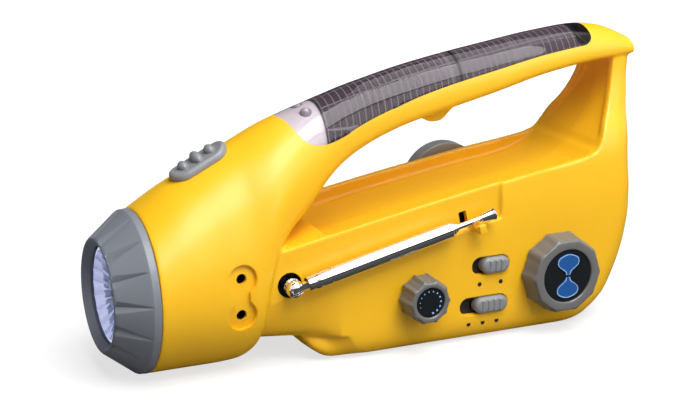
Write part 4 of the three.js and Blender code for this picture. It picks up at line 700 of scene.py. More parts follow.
def feed(tree, socket, value):
    """Links another node's output to a socket, or sets its own value; a colour comes without alpha."""
    if isinstance(value, bpy.types.NodeSocket):
        tree.links.new(value, socket)
    else:
        socket.default_value = (*value, 1) if socket.type == "RGBA" else value


def node(tree, kind, inputs=(), **settings):
    """Adds a node with its settings, and feeds its inputs by name or number."""
    made = with_settings(tree.nodes.new(kind), settings)
    for label, value in dict(inputs).items():
        feed(tree, made.inputs[label], value)
    return made


def sockets(tree, way, kind, labels):
    """Names a group's inputs or outputs; a dictionary gives their first values too."""
    for label in labels:
        face = tree.interface.new_socket(label, in_out=way, socket_type="NodeSocket" + kind)
        if isinstance(labels, dict):
            face.default_value = labels[label]


def worked(tree, operation, *values):
    return node(tree, "ShaderNodeMath", dict(enumerate(values)), operation=operation).outputs[0]


def own_place(tree):
    return node(tree, "ShaderNodeTexCoord").outputs["Object"]


def noise(tree, scale, place=None, **more):
    place = own_place(tree) if place is None else place
    return node(tree, "ShaderNodeTexNoise", {"Vector": place, "Scale": scale, **more}).outputs["Fac"]


def ranged(tree, value, low, high, first=0.0, last=1.0):
    """Moves a value from the range first to last into the range low to high."""
    inputs = {"Value": value, "From Min": first, "From Max": last, "To Min": low, "To Max": high}
    return node(tree, "ShaderNodeMapRange", inputs).outputs["Result"]


def blended(tree, factor, first, second):
    inputs = {"Factor": factor, "A": first, "B": second}
    return node(tree, "ShaderNodeMix", inputs, data_type="RGBA").outputs["Result"]


def raised(tree, height, strength, distance):
    inputs = {"Height": height, "Strength": strength, "Distance": distance}
    return node(tree, "ShaderNodeBump", inputs).outputs["Normal"]


def surfaced(tree, output, factor, first, second):
    """Sends a mix of two shader nodes to the tree's output node."""
    mixed = node(tree, "ShaderNodeMixShader", {"Fac": factor, 1: first.outputs[0], 2: second.outputs[0]})
    feed(tree, tree.nodes[output].inputs["Surface"], mixed.outputs[0])


# Materials

def new_material(name):
    material = bpy.data.materials.new(name)
    material.use_nodes = True
    return material, material.node_tree


def shade(tree, values):
    """Feeds the main shader."""
    shader = tree.nodes["Principled BSDF"]
    for label, value in values.items():
        feed(tree, shader.inputs[label], value)
    return shader


def moulded_group():
    """Shade, roughness and height of moulded plastic: a fine grain, soft broad unevenness and scuffs."""
    group = bpy.data.node_groups.new("Moulded surface", "ShaderNodeTree")
    sockets(group, "INPUT", "Float", {
        "Grain scale": 900.0, "Broad scale": 26.0, "Low roughness": 0.2, "High roughness": 0.3,
        "Scuffs": 0.2})
    sockets(group, "OUTPUT", "Float", ("Shade", "Roughness", "Height"))
    given = node(group, "NodeGroupInput").outputs
    broad = noise(group, given["Broad scale"], Detail=3)
    grain = noise(group, given["Grain scale"], Detail=2)
    scuff = ranged(group, noise(group, 210, Detail=6, Distortion=2.5), 0.0, 1.0, 0.62, 0.75)
    worn = worked(group, "MULTIPLY", scuff, given["Scuffs"])
    spread = worked(group, "MULTIPLY_ADD", broad, 0.8, worn)
    rough = ranged(group, spread, given["Low roughness"], given["High roughness"])
    node(group, "NodeGroupOutput", {"Shade": broad, "Roughness": rough, "Height": grain})
    return group


MOULDED = moulded_group()


def moulded(name, light, dark, roughness, bump, grain=900.0, broad=26.0, scuffs=0.2, more=()):
    """Plastic whose colour drifts a little from light to dark."""
    material, tree = new_material(name)
    low, high = roughness
    skin = node(tree, "ShaderNodeGroup", {
        "Grain scale": grain, "Broad scale": broad, "Low roughness": low, "High roughness": high,
        "Scuffs": scuffs}, node_tree=MOULDED).outputs
    shade(tree, {
        "Base Color": blended(tree, skin["Shade"], light, dark), "Roughness": skin["Roughness"],
        "Normal": raised(tree, skin["Height"], bump, 0.0001), **dict(more)})
    return material


def metal(name, colour, roughness, brushed=0.0):
    """Metal with faint lines and uneven polish."""
    material, tree = new_material(name)
    stretch = node(tree, "ShaderNodeMapping", {"Vector": own_place(tree), "Scale": (60, 900, 900)})
    lines = noise(tree, 1.0, stretch.outputs["Vector"], Detail=4)
    values = {"Base Color": colour, "Metallic": 1, "Roughness": ranged(tree, lines, *roughness)}
    if brushed:
        values["Normal"] = raised(tree, lines, brushed, 0.00005)
    shade(tree, values)
    return material


def clear_plastic(name, tint, roughness, index):
    """Clear moulding that lets light through to what lies under it."""
    material, tree = new_material(name)
    shader = shade(tree, {
        "Base Color": tint, "Transmission Weight": 1, "IOR": index,
        "Roughness": ranged(tree, noise(tree, 45), *roughness)})
    path = node(tree, "ShaderNodeLightPath").outputs
    light = worked(tree, "MAXIMUM", path["Is Shadow Ray"], path["Is Diffuse Ray"])
    plain = worked(tree, "MAXIMUM", light, node(tree, "ShaderNodeNewGeometry").outputs["Backfacing"])
    through = node(tree, "ShaderNodeBsdfTransparent", {"Color": tint})
    surfaced(tree, "Material Output", plain, shader, through)
    return material


def cell_material():
    """Dark cell strips with fine pale fingers across them and fine bars along them."""
    material, tree = new_material("solar_cell")

    def lines(value, pitch, width):
        share = worked(tree, "FRACT", worked(tree, "DIVIDE", value, pitch))
        return worked(tree, "LESS_THAN", share, width)

    axes = node(tree, "ShaderNodeSeparateXYZ", {"Vector": own_place(tree)}).outputs
    fingers = lines(axes["X"], 0.0028, 0.13)
    gaps = lines(axes["X"], 0.0300, 0.016)
    bars = lines(worked(tree, "ADD", axes["Y"], 0.1002), 0.0062, 0.055)
    pale = worked(tree, "MAXIMUM", worked(tree, "MAXIMUM", fingers, gaps), bars)
    base = blended(tree, noise(tree, 120), (0.058, 0.041, 0.049), (0.096, 0.074, 0.086))
    shade(tree, {
        "Base Color": blended(tree, pale, base, (0.24, 0.225, 0.24)), "Roughness": 0.34,
        "Specular IOR Level": 0.05})
    return material


def bulb_material(name, light, dark):
    material, tree = new_material(name)
    shade(tree, {
        "Base Color": blended(tree, noise(tree, 300), light, dark), "Roughness": 0.06, "Coat Weight": 0.6})
    return material


YELLOW = moulded(
    "yellow_plastic", (0.93, 0.515, 0.009), (0.90, 0.488, 0.0075), (0.36, 0.44), 0.05, scuffs=0.08, more={
        "Subsurface Weight": 0.18, "Subsurface Radius": (1.0, 0.35, 0.05), "Subsurface Scale": 0.002,
        "Coat Weight": 0.04, "Coat Roughness": 0.2})
BEZEL_GREY = moulded("bezel_grey", (0.205, 0.220, 0.252), (0.180, 0.194, 0.222), (0.36, 0.46), 0.25, grain=1500)
KNOB_GREY = moulded("knob_grey", (0.160, 0.157, 0.153), (0.140, 0.138, 0.135), (0.30, 0.40), 0.25, grain=1500)
SWITCH_GREY = moulded(
    "switch_grey", (0.245, 0.250, 0.262), (0.218, 0.223, 0.235), (0.34, 0.44), 0.25, grain=1500)
BLACK_GLOSS = moulded("black_gloss", (0.010, 0.014, 0.018), (0.006, 0.008, 0.010), (0.12, 0.2), 0.02)
BLACK = moulded("black_plastic", (0.014, 0.014, 0.015), (0.009, 0.009, 0.010), (0.4, 0.55), 0.3)
BLUE = moulded("key_blue", (0.012, 0.105, 0.350), (0.010, 0.080, 0.290), (0.25, 0.35), 0.05)
PALE_BLUE = moulded("mark_blue", (0.30, 0.52, 0.80), (0.24, 0.45, 0.74), (0.35, 0.45), 0.05)
NYLON = moulded("gear_nylon", (0.78, 0.76, 0.68), (0.70, 0.68, 0.60), (0.4, 0.5), 0.2)
TRAY = moulded("tray_grey", (0.80, 0.76, 0.77), (0.70, 0.66, 0.67), (0.35, 0.5), 0.1)
DARK_TRAY = moulded("tray_dark", (0.060, 0.050, 0.052), (0.045, 0.037, 0.040), (0.3, 0.45), 0.1)
PAPER = moulded("cone_paper", (0.028, 0.028, 0.030), (0.018, 0.018, 0.020), (0.75, 0.9), 0.8, grain=700)
BOARD = moulded("board", (0.02, 0.16, 0.06), (0.012, 0.11, 0.04), (0.3, 0.45), 0.2, broad=90)
CHROME = metal("chrome", (0.80, 0.80, 0.82), (0.05, 0.11))
STEEL = metal("steel", (0.50, 0.50, 0.51), (0.25, 0.42), 0.3)
MIRROR = metal("mirror_coat", (0.80, 0.82, 0.94), (0.04, 0.12))
CLEAR_COVER = clear_plastic("clear_cover", (0.87, 0.85, 0.87), (0.015, 0.03), 1.3)
CLEAR_LENS = clear_plastic("clear_lens", (0.95, 0.96, 1.0), (0.0, 0.03), 1.4)
CELL = cell_material()
BULB_CLEAR = bulb_material("lamp_epoxy", (0.80, 0.84, 0.95), (0.62, 0.68, 0.85))
CHARGE_LAMP = bulb_material("charge_epoxy", (0.50, 0.48, 0.52), (0.34, 0.32, 0.36))


def finished(piece, body, materials, replaced=(), smooth=32, place=None):
    """Settles a finished shape into the row frame and ties it to its body."""
    if place is not None:
        piece.data.transform(place)
    piece.data.transform(ROW)
    piece.data.materials.clear()
    for material in materials if isinstance(materials, (list, tuple)) else (materials,):
        piece.data.materials.append(material)
    piece.data.shade_smooth()
    piece.data.set_sharp_from_angle(angle=math.radians(smooth))
    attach(piece, body)
    if replaced:
        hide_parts(*replaced)
    return piece


# Repeats, made with Geometry Nodes

def piece_tree(name, values):
    """Tree that takes a piece, its finish and some numbers; returned with its given values."""
    tree = bpy.data.node_groups.new(name, "GeometryNodeTree")
    for kind, label in (("Geometry", "Geometry"), ("Object", "Piece"), ("Material", "Finish")):
        sockets(tree, "INPUT", kind, [label])
    for label, value in values.items():
        sockets(tree, "INPUT", "Int" if isinstance(value, int) else "Float", {label: value})
    sockets(tree, "OUTPUT", "Geometry", ["Geometry"])
    return tree, node(tree, "NodeGroupInput").outputs, node(tree, "GeometryNodeInputIndex").outputs["Index"]


def copies_on(tree, given, points, **more):
    """Sets copies of the piece on points, as real geometry with its finish."""
    source = node(tree, "GeometryNodeObjectInfo", {"Object": given["Piece"]}).outputs["Geometry"]
    copies = node(tree, "GeometryNodeInstanceOnPoints", {"Points": points, "Instance": source, **more})
    real = node(tree, "GeometryNodeRealizeInstances", {"Geometry": copies.outputs["Instances"]})
    painted = node(tree, "GeometryNodeSetMaterial", {
        "Geometry": real.outputs["Geometry"], "Material": given["Finish"]})
    node(tree, "NodeGroupOutput", {"Geometry": painted.outputs["Geometry"]})
    return tree


def ring_tree():
    """Copies of one piece on an arc about the z axis, each turned to face outwards."""
    tree, given, index = piece_tree("Pieces on an arc", {
        "Count": 5, "Radius": 10.0, "First angle": 0.0, "Angle step": 1.0, "First size": 1.0,
        "Size step": 0.0})
    angle = worked(tree, "MULTIPLY_ADD", index, given["Angle step"], given["First angle"])
    size = worked(tree, "MULTIPLY_ADD", index, given["Size step"], given["First size"])
    x = worked(tree, "MULTIPLY", worked(tree, "COSINE", angle), given["Radius"])
    y = worked(tree, "MULTIPLY", worked(tree, "SINE", angle), given["Radius"])
    place = node(tree, "ShaderNodeCombineXYZ", {"X": x, "Y": y}).outputs["Vector"]
    turn = node(tree, "ShaderNodeCombineXYZ", {"Z": angle}).outputs["Vector"]
    points = node(tree, "GeometryNodePoints", {"Count": given["Count"], "Position": place}).outputs["Points"]
    return copies_on(tree, given, points, Rotation=turn, Scale=size)


def site_tree():
    """Copies of one piece on the points of a plain mesh, each turned a step further about y."""
    tree, given, index = piece_tree("Pieces on sites", {"Turn each": 0.0})
    turn = node(tree, "ShaderNodeCombineXYZ", {"Y": worked(tree, "MULTIPLY", index, given["Turn each"])})
    return copies_on(tree, given, given["Geometry"], Rotation=turn.outputs["Vector"])


RING, SITES = ring_tree(), site_tree()


def repeated(name, tree, points, matrix=None, **values):
    """Runs a tree on a mesh of points and turns the result into a plain mesh."""
    mesh = bpy.data.meshes.new(name)
    mesh.from_pydata([tuple(p) for p in points], [], [])
    piece = linked(name, mesh)
    step = piece.modifiers.new("repeat", "NODES")
    step.node_group = tree
    for item in tree.interface.items_tree:
        if item.in_out == "INPUT" and item.name in values:
            step[item.identifier] = values[item.name]
    baked(piece)
    bpy.data.objects.remove(values["Piece"])
    if matrix is not None:
        piece.data.transform(matrix)
    return piece


# Body

def build_body():
    body = carved(softened(raw_body()))
    near, far, door = near_skin(body), far_skin(body), battery_door(body)
    bpy.data.objects.remove(body)
    for skin, name in ((near, "near_shell"), (far, "far_shell")):
        # The fourth finish, black, is painted shade in the antenna ball's recess
        finished(skin, "case", [YELLOW, TRAY, DARK_TRAY, BLACK], [name])
        paint_tray_and_seat_shade(skin)
    finished(door, "case", YELLOW, ["battery_door"])


def paint_tray_and_seat_shade(skin):
    """Gives the pocket under the window its finishes, pale at the nose, and paints the ball's round seat black
    as painted shade in that recess.
    """
    mesh = skin.data
    centre = np.zeros(len(mesh.polygons) * 3)
    mesh.polygons.foreach_get("center", centre)
    x, y, z = (centre.reshape(-1, 3) / MM - np.array(SHIFT)).T
    rows = eased(SWEEP, 4)
    middle = (rows[:, 0] + rows[:, 2]) / 2 * LENGTH
    low, high, half, level = (np.interp(x, middle, rows[:, k]) for k in (1, 3, 4, 5))
    across = np.clip(np.abs(y) / (half * BARREL), 0, 1)
    skin_level = level + (1 - level) * np.sqrt(1 - across**2)
    share = (z / HEIGHT - low) / (high - low)
    plan = eased(WINDOW, 4)[:-8] * (LENGTH, BARREL)
    edge = np.interp(x, plan[:, 0], plan[:, 1]) + 0.2
    pocket = (np.abs(y) < edge) & (x > WINDOW[0][0] * LENGTH - 0.3) & (x < WINDOW[-1][0] * LENGTH + 0.3)
    pocket &= (share < skin_level - 0.03) & (share > CELL_FLOOR - 0.04)
    index = np.where(pocket, np.where(x < PALE_NOSE, 1, 2), 0)
    # Painted shade: the walls and floor of the antenna ball's recess take black, standing in for the shadow
    # inside it
    index[(np.hypot(x - PIVOT[0], z - PIVOT[1]) < PIVOT_SEAT + 0.02) & (y < -12)] = 3
    mesh.polygons.foreach_set("material_index", index.astype(np.int32))
    mesh.update()


def screw_shape(head, height, radius, length):
    """Pan head with a straight slot, its face at y = 0 and its shank towards -y."""
    profile = [(-height - length, 0), (-height - length, radius), (-height, radius), (-height, head),
               (-0.35 * height, head), (-0.08 * height, head * 0.86), (0, head * 0.6), (0, 0)]
    piece = revolved("screw", profile, 40, TO_Y)
    return cut(piece, slab("drive", (-head, -height / 2, -radius / 4), (head, 2, radius / 4)))


def build_screws():
    sites = [(x, 8.0, z) for x, z in SCREW_SITES]
    screw = screw_shape(head=2.6, height=1.8, radius=1.3, length=14.2)
    piece = repeated("case_screws", SITES, sites, Piece=screw, Finish=STEEL, **{"Turn each": 1.1})
    finished(piece, "case", STEEL, [f"case_screw_{k}" for k in range(1, 6)])
    piece = screw_shape(head=2.3, height=1.0, radius=1.2, length=3.6)
    piece.name = "door_fastener"
    x, z = door_screw()
    finished(piece, "case", STEEL, ["door_screw"], place=at(x, HOUSING_HALF - CLEAR, z))


# Bezel and lamp

def build_bezel():
    """Tapered ring with grooves that are wide at the front edge and run out before the rear band."""
    run = BEZEL_LENGTH - BEZEL_BAND
    front, inner = -BEZEL_LENGTH, BEZEL_FRONT - BEZEL_RIM
    outer = [(-CLEAR, BARREL - 0.25), (-0.6, BARREL), (-BEZEL_BAND + 0.3, BARREL - 0.18)]
    outer += [(-BEZEL_BAND - t * (run - 1.2), BARREL - 0.3 - t * (BARREL - 0.3 - BEZEL_FRONT - 0.75))
              for t in np.linspace(0.02, 1, 30)]
    outer += [(front + 0.55, BEZEL_FRONT + 0.28), (front + 0.2, BEZEL_FRONT - 0.12),
              (front, BEZEL_FRONT - 0.6), (front, inner + 0.5), (front + 0.15, inner + 0.15),
              (front + 0.5, inner)]
    rest = [(LENS_X - CLEAR, inner - BEZEL_RIM), (LENS_X - CLEAR, LENS + CLEAR), (-6, LENS + CLEAR),
            (-6, SPIGOT + CLEAR - 3.2), (-4.3, SPIGOT + CLEAR - 3.2), (-4.3, SPIGOT + CLEAR),
            (-CLEAR, SPIGOT + CLEAR)]
    angle = full_turn(GROOVES * 40)
    phase = (angle / (2 * math.pi) * GROOVES + 0.5) % 1.0 - 0.5
    rings = []
    for k, (x, radius) in enumerate(outer + rest):
        deep = 0
        share = (-BEZEL_BAND - x) / run
        if share > 0 and radius > BEZEL_FRONT and k < len(outer):
            half = GROOVE_HALF * (0.12 + 0.88 * min(share, 1.0))
            off = np.abs(phase) * 2 * math.pi / GROOVES * radius
            bowl = np.clip(1 - off / half, 0, 1)
            deep = GROOVE_DEPTH * min(1.0, 0.25 + share) * bowl * min(share * 12, 1.0)
        rings.append(circle(x, radius - deep, angle + math.pi / GROOVES)[:, [0, 2, 1]])
    finished(hoop("bezel_ring", rings), "case", BEZEL_GREY, ["bezel"], 24)


def build_lamp():
    back = LENS_X + LENS_THICK
    profile = [(back, 0), (back, LENS), (LENS_X + 0.15, LENS), (LENS_X, LENS - 0.15)]
    profile += [(LENS_X + 0.25 * (LENS - r) / LENS, r) for r in (16, 11, 6, 0)]
    finished(revolved("lens_disc", profile, 96, AXIS), "case", CLEAR_LENS, ["lens"])
    front, rear, mouth, neck = back + CLEAR, LAMP_BOARD_X - CLEAR, LENS - 2.4, 10.0
    angle = full_turn(120)
    facet = 1 - 0.035 * np.abs(np.sin(angle * 10))
    rows = [(front + t * (rear - front), math.sqrt(neck**2 + (mouth**2 - neck**2) * (1 - t)) * facet)
            for t in np.linspace(0, 1, 15)]
    rows += [(rear, neck + 1.2), (front + 6, mouth - 1.2), (front + 1.2, mouth + 0.6), (front + 1.2, LENS),
             (front, LENS)]
    bowl = hoop("mirror_bowl", [circle(x, r, angle) for x, r in rows])
    finished(bowl, "case", MIRROR, ["reflector"])
    shoulder, narrow = rear - 7.5 + BULB, BULB - 0.2
    flange = [(rear, 0), (rear, BULB), (rear - 0.9, BULB), (rear - 1.0, narrow), (shoulder, narrow)]
    angles = np.linspace(0, math.pi / 2, 10)[1:]
    dome = [(shoulder - BULB * math.sin(a), narrow * math.cos(a)) for a in angles]
    bulb = revolved("bulb", flange + dome, 40, TO_Z)
    values = {"Count": BULBS, "Radius": BULB_CIRCLE, "First angle": math.pi / 2,
              "Angle step": 2 * math.pi / BULBS}
    lamps = repeated("lamp_bulbs", RING, [], AXIS @ TO_Y @ FACING, Piece=bulb, Finish=BULB_CLEAR, **values)
    finished(lamps, "case", BULB_CLEAR, [f"lamp_bulb_{k}" for k in range(1, BULBS + 1)])


# Window

# Points round a section and rows between two stations, where a form shows through the cover
FINE = (160, 8)


def build_window():
    skin = cut(sweep_form(0, *FINE), sweep_form(WINDOW_THICK, 96, 5))
    window = keep(skin, window_prism(0.0), above(EDGE_SHARE))
    window.name = "window_cover"
    finished(window, "case", CLEAR_COVER, ["solar_window"], 40)


def under_window(name, drop, low, high):
    """Form that fills the pocket up to a drop below the window, over a run of x."""
    run = slab("run", (low, -FAR, 0), (high, FAR, HEIGHT + OVER))
    plan = window_prism(-WINDOW_LEDGE - CLEAR)
    piece = keep(sweep_form(WINDOW_THICK + drop, *FINE), plan, above(CELL_FLOOR + 0.03), run)
    piece.name = name
    return piece


def build_cells():
    for label, (first, last) in zip(("front", "rear"), CELLS):
        cell = under_window(f"cell_{label}", CELL_DROP, first * LENGTH, last * LENGTH)
        finished(cell, "case", CELL, [f"solar_cell_{label}"])
    x, reach, radius = CHARGE_BULBS
    top = top_line(x)[0] - WINDOW_THICK - 0.4
    tray = under_window("nose_tray", 2.2, 0, CELLS[0][0] * LENGTH - CLEAR)
    profile = [(top - 16, 0), (top - 16, radius)] + arc(top - radius, 0, radius, 0, 9)
    for label, y in (("near", -reach), ("far", reach)):
        upright = at(x, y, 0) @ TO_Z
        cut(tray, rod("hole", radius + 0.25, 0, FAR * 2, 32, upright))
        bulb = revolved(f"charge_lamp_{label}", profile, 36, upright)
        finished(bulb, "case", CHARGE_LAMP, [f"charge_bulb_{label}"])
    finished(tray, "case", TRAY)


# Inset of the thumb piece's outline and its height, from the foot over the rim to the middle
SWITCH_RIM = (
    (0, -3.0), (0, 1.3), (0.15, 1.9), (0.5, 2.45), (1.0, 2.75), (1.5, 2.8), (2.1, 2.6), (2.7, 2.35),
    (3.8, 2.3))
PIPS = ((-1, (2.1, 3.3, 2.7)), (0, (2.3, 4.8, 3.2)), (1, (2.1, 3.3, 2.7)))
PIP_PITCH = 6.0


def build_switch():
    """Capsule-shaped thumb piece with a rounded rim and three pips."""
    length, width = SWITCH_SIZE
    rings = []
    for inset, z in SWITCH_RIM:
        ring = drawn(stadium(0, 0, length - 2 * inset, width - 2 * inset, 24), z, "z")
        ring[:, 2] -= ring[:, 1] ** 2 / (2.4 * width) * (1 if z > 0 else 0)
        rings.append(ring)
    pad = loft("thumb_switch", rings)
    for k, size in PIPS:
        matrix = at(k * PIP_PITCH, 0, 1.9) @ Matrix.Diagonal((*size, 1))
        join(pad, revolved("pip", arc(0, 0, 1, -math.pi / 2, 15), 32, matrix))
    join(pad, slab("stem", (-3, -2, -5.7), (3, 2, 0)))
    place = on_top_line()
    pad.data.transform(place)
    lower = keep(sweep_form(-CLEAR), slab("keep_low", (-30, -9, -11), (30, 9, 2.2), place))
    cut(pad, cut(lower, slab("stem_room", (-3.2, -2.2, -12), (3.2, 2.2, 0.5), place)))
    finished(pad, "head_switch", SWITCH_GREY, ["head_switch"], 38)


# Knobs

def lobed(radius, y, scallop, lobes=10, depth=0.9):
    """Ring at a level of y whose lobes stand out by a share of the depth."""
    angle = full_turn(lobes * 16)
    ridge = ((1 + np.cos(lobes * angle)) / 2) ** 3
    return circle(y, radius - scallop * depth * (1 - ridge), angle)[:, [1, 0, 2]]


def scalloped_knob(name, place, base, face, dial, height, pocket):
    """Knob with a softly rounded face edge, scallops down its side and a round pocket."""
    foot, front = -HOUSING_HALF - CLEAR, -HOUSING_HALF - height
    rings = [lobed(base - 0.25, foot, 1), lobed(base, foot - 0.3, 1)]
    for t in np.linspace(0.1, 1, 6):
        rings.append(lobed(base + t * (face + 0.6 - base), foot - 0.3 + t * (front + 1.9 - foot + 0.3), 1))
    for angle in np.linspace(0.15, math.pi / 2, 7):
        drop, inset = 1.9 * math.sin(angle), 1.7 * (1 - math.cos(angle))
        rings.append(lobed(face + 0.6 - inset, front + 1.9 - drop, math.cos(angle)))
    for grow, drop in ((0.7, 0), (0.3, 0.1), (0, 0.45), (0, pocket)):
        rings.append(lobed(dial + grow, front + drop, 0))
    return loft(name, rings, at(place[0], 0, place[1]))


def plate(name, place, radius, front, rear, steps):
    """Disc with a small chamfer on its front edge."""
    profile = [(rear, 0), (rear, radius), (front + 0.2, radius), (front, radius - 0.2), (front, 0)]
    return revolved(name, profile, steps, at(place[0], 0, place[1]) @ TO_Y)


SWITCH_FACE = -HOUSING_HALF + WALL + CLEAR
VOLUME_HEIGHT = 10
TUNING_HEIGHT = 9.4


def build_volume():
    knob = scalloped_knob("volume_cap", VOLUME, base=9.7, face=8.7, dial=6.2, height=VOLUME_HEIGHT, pocket=2.4)
    join(knob, rod_y("stem", VOLUME, VOLUME_STEM, -HOUSING_HALF - 1.2, SWITCH_FACE))
    finished(knob, "volume", KNOB_GREY, ["volume_knob"], 26)
    front = 0.7 - HOUSING_HALF - VOLUME_HEIGHT
    dial = plate("volume_plate", VOLUME, 6.0, front, front + 1.4, 72)
    finished(dial, "volume", BLACK_GLOSS, ["volume_dial"])
    dot = revolved("dot", [(-0.02, 0), (-0.02, 0.36), (0.05, 0.33), (0.05, 0)], 20, TO_Z)
    values = {"Count": 12, "Radius": 4.6, "First angle": math.radians(-160), "Angle step": math.radians(-25),
              "First size": 0.55, "Size step": 0.075}
    upright = at(VOLUME[0], front, VOLUME[1]) @ FACING
    marks = repeated("volume_marks", RING, [], upright, Piece=dot, Finish=PALE_BLUE, **values)
    finished(marks, "volume", PALE_BLUE)


# Half outline of a key, as shares of its reach and half width
KEY_SHAPE = [
    (0.06, 0.20), (0.16, 0.24), (0.24, 0.36), (0.32, 0.56), (0.42, 0.80), (0.52, 0.95), (0.62, 1.00),
    (0.74, 0.97), (0.85, 0.82), (0.94, 0.52), (0.985, 0.24),
]
KEY_HALF = 5.1
KEY_REACH = 9.4


def key_outline(side, grow, split=0.45):
    shape = eased(KEY_SHAPE, 4)
    rim = [(half * KEY_HALF + grow, reach * KEY_REACH + (2 * reach - 1) * grow) for reach, half in shape]
    rim[0] = (rim[0][0], split - grow)
    points = rim + [(0, KEY_REACH + grow)] + [(-w, z) for w, z in reversed(rim)]
    return [(TUNING[0] + w, TUNING[1] + side * z) for w, z in points]


def build_tuning():
    front = -HOUSING_HALF - TUNING_HEIGHT
    face = front + 0.7
    rear = face + 1.4
    key_back = rear + CLEAR + 1
    cup_floor = key_back + 0.8 + CLEAR
    pocket = cup_floor + 1.5 - front
    knob = scalloped_knob(
        "tuning_cap", TUNING, base=17, face=15.4, dial=11.2, height=TUNING_HEIGHT, pocket=pocket)
    join(knob, rod_y("stem", TUNING, TUNING_STEM, -HOUSING_HALF - 1.2, SWITCH_FACE))
    cut(knob, rod_y("bore", TUNING, 3.0, -FAR, 0))
    finished(knob, "tuning", KNOB_GREY, ["tuning_knob"], 26)
    dial = plate("tuning_plate", TUNING, 10.9, face, cup_floor + 1.2, 96)
    fields = [prism("field", key_outline(side, 0.22, 0.6), -FAR, rear + CLEAR) for side in (1, -1)]
    cut(dial, rod_y("room", TUNING, 10.2, rear, cup_floor, 72), *fields)
    join(dial, rod_y("post", TUNING, 2.7, cup_floor, -20.9))
    finished(dial, "case", BLACK_GLOSS, ["tuning_dial"])
    for side, label in ((1, "upper"), (-1, "lower")):
        key = prism(f"key_{label}", key_outline(side, -0.05), face - 0.42, key_back)
        join(key, prism("flange", key_outline(side, 0.45), rear + CLEAR + 0.02, key_back))
        finished(key, f"{label}_key", BLUE, [f"tuning_key_{label}"])
        trim = prism(f"key_{label}_edge", key_outline(side, -0.05), face - 0.5, face - 0.2)
        cut(trim, prism("inner", key_outline(side, -0.42, 0.1), face - 2, face + 2))
        finished(trim, f"{label}_key", PALE_BLUE)


RIB_PITCH = 2.6
DOT_DROP = 7.6
THUMB_EDGE = ((0, 1.5), (0.1, 1.0), (0.4, 0.5), (1.0, 0.12), (1.9, 0))


def build_sliders():
    height = SLOT_HEIGHT - 2 * CLEAR
    front, back = -HOUSING_HALF - 1.9, -HOUSING_HALF + WALL
    levels = [(0, back)] + [(inset, front + drop) for inset, drop in THUMB_EDGE]
    wide, narrow = height * 0.36, height * 0.31
    rib = [(-wide, 0), (-wide, 0.5), (-narrow, 0.8), (narrow, 0.8), (wide, 0.5), (wide, 0)]
    for label, (slot_x, z, length, reach, ribs) in (("upper", UPPER_SLOT), ("lower", LOWER_SLOT)):
        x = slot_x + (length - reach) / 2 - CLEAR
        piece = pill(f"{label}_thumb", (x, z), reach, height, levels)
        for k in range(ribs):
            offset = (k - (ribs - 1) / 2) * RIB_PITCH
            join(piece, revolved("bar", rib, 28, at(x + offset, front + 0.25, z) @ TO_Z))
        join(piece, slab("stem", (x - 1.5, front + 1, z - 1.5), (x + 1.5, back + 2.2, z + 1.5)))
        finished(piece, f"{label}_slider", SWITCH_GREY, [f"{label}_slider"])
    sites = [(UPPER_SLOT[0] + k * 9.8, UPPER_SLOT[1] - DOT_DROP) for k in (-0.5, 0.5)]
    sites += [(LOWER_SLOT[0] + k * 6.5, LOWER_SLOT[1] - DOT_DROP) for k in (-1, 0, 1)]
    surface = [(x, face_y(z) - 0.04, z) for x, z in sites]
    dot = revolved("dot", [(0.25, 0), (0.25, 0.95), (-0.02, 0.92), (-0.02, 0)], 24, TO_Y)
    finished(repeated("position_dots", SITES, surface, Piece=dot, Finish=BLACK), "case", BLACK)


def face_y(z):
    """Level of the housing's knob side at a height."""
    rows = eased(LEVELS, 4)
    return -np.interp(z, rows[:, 0] * HEIGHT, rows[:, 3] * HOUSING_HALF)


# Antenna

def antenna_matrix():
    return at(PIVOT[0], -ANTENNA_OUT, PIVOT[1]) @ Matrix.Rotation(-ANTENNA_RISE, 4, "Y")


def pin(name, half, radius, steps, matrix):
    """Rod along z with chamfered ends."""
    edge, end = radius - 0.2, half - 0.2
    profile = [(-half, 0), (-half, edge), (-end, radius), (end, radius), (half, edge), (half, 0)]
    return revolved(name, profile, steps, matrix @ TO_Z)


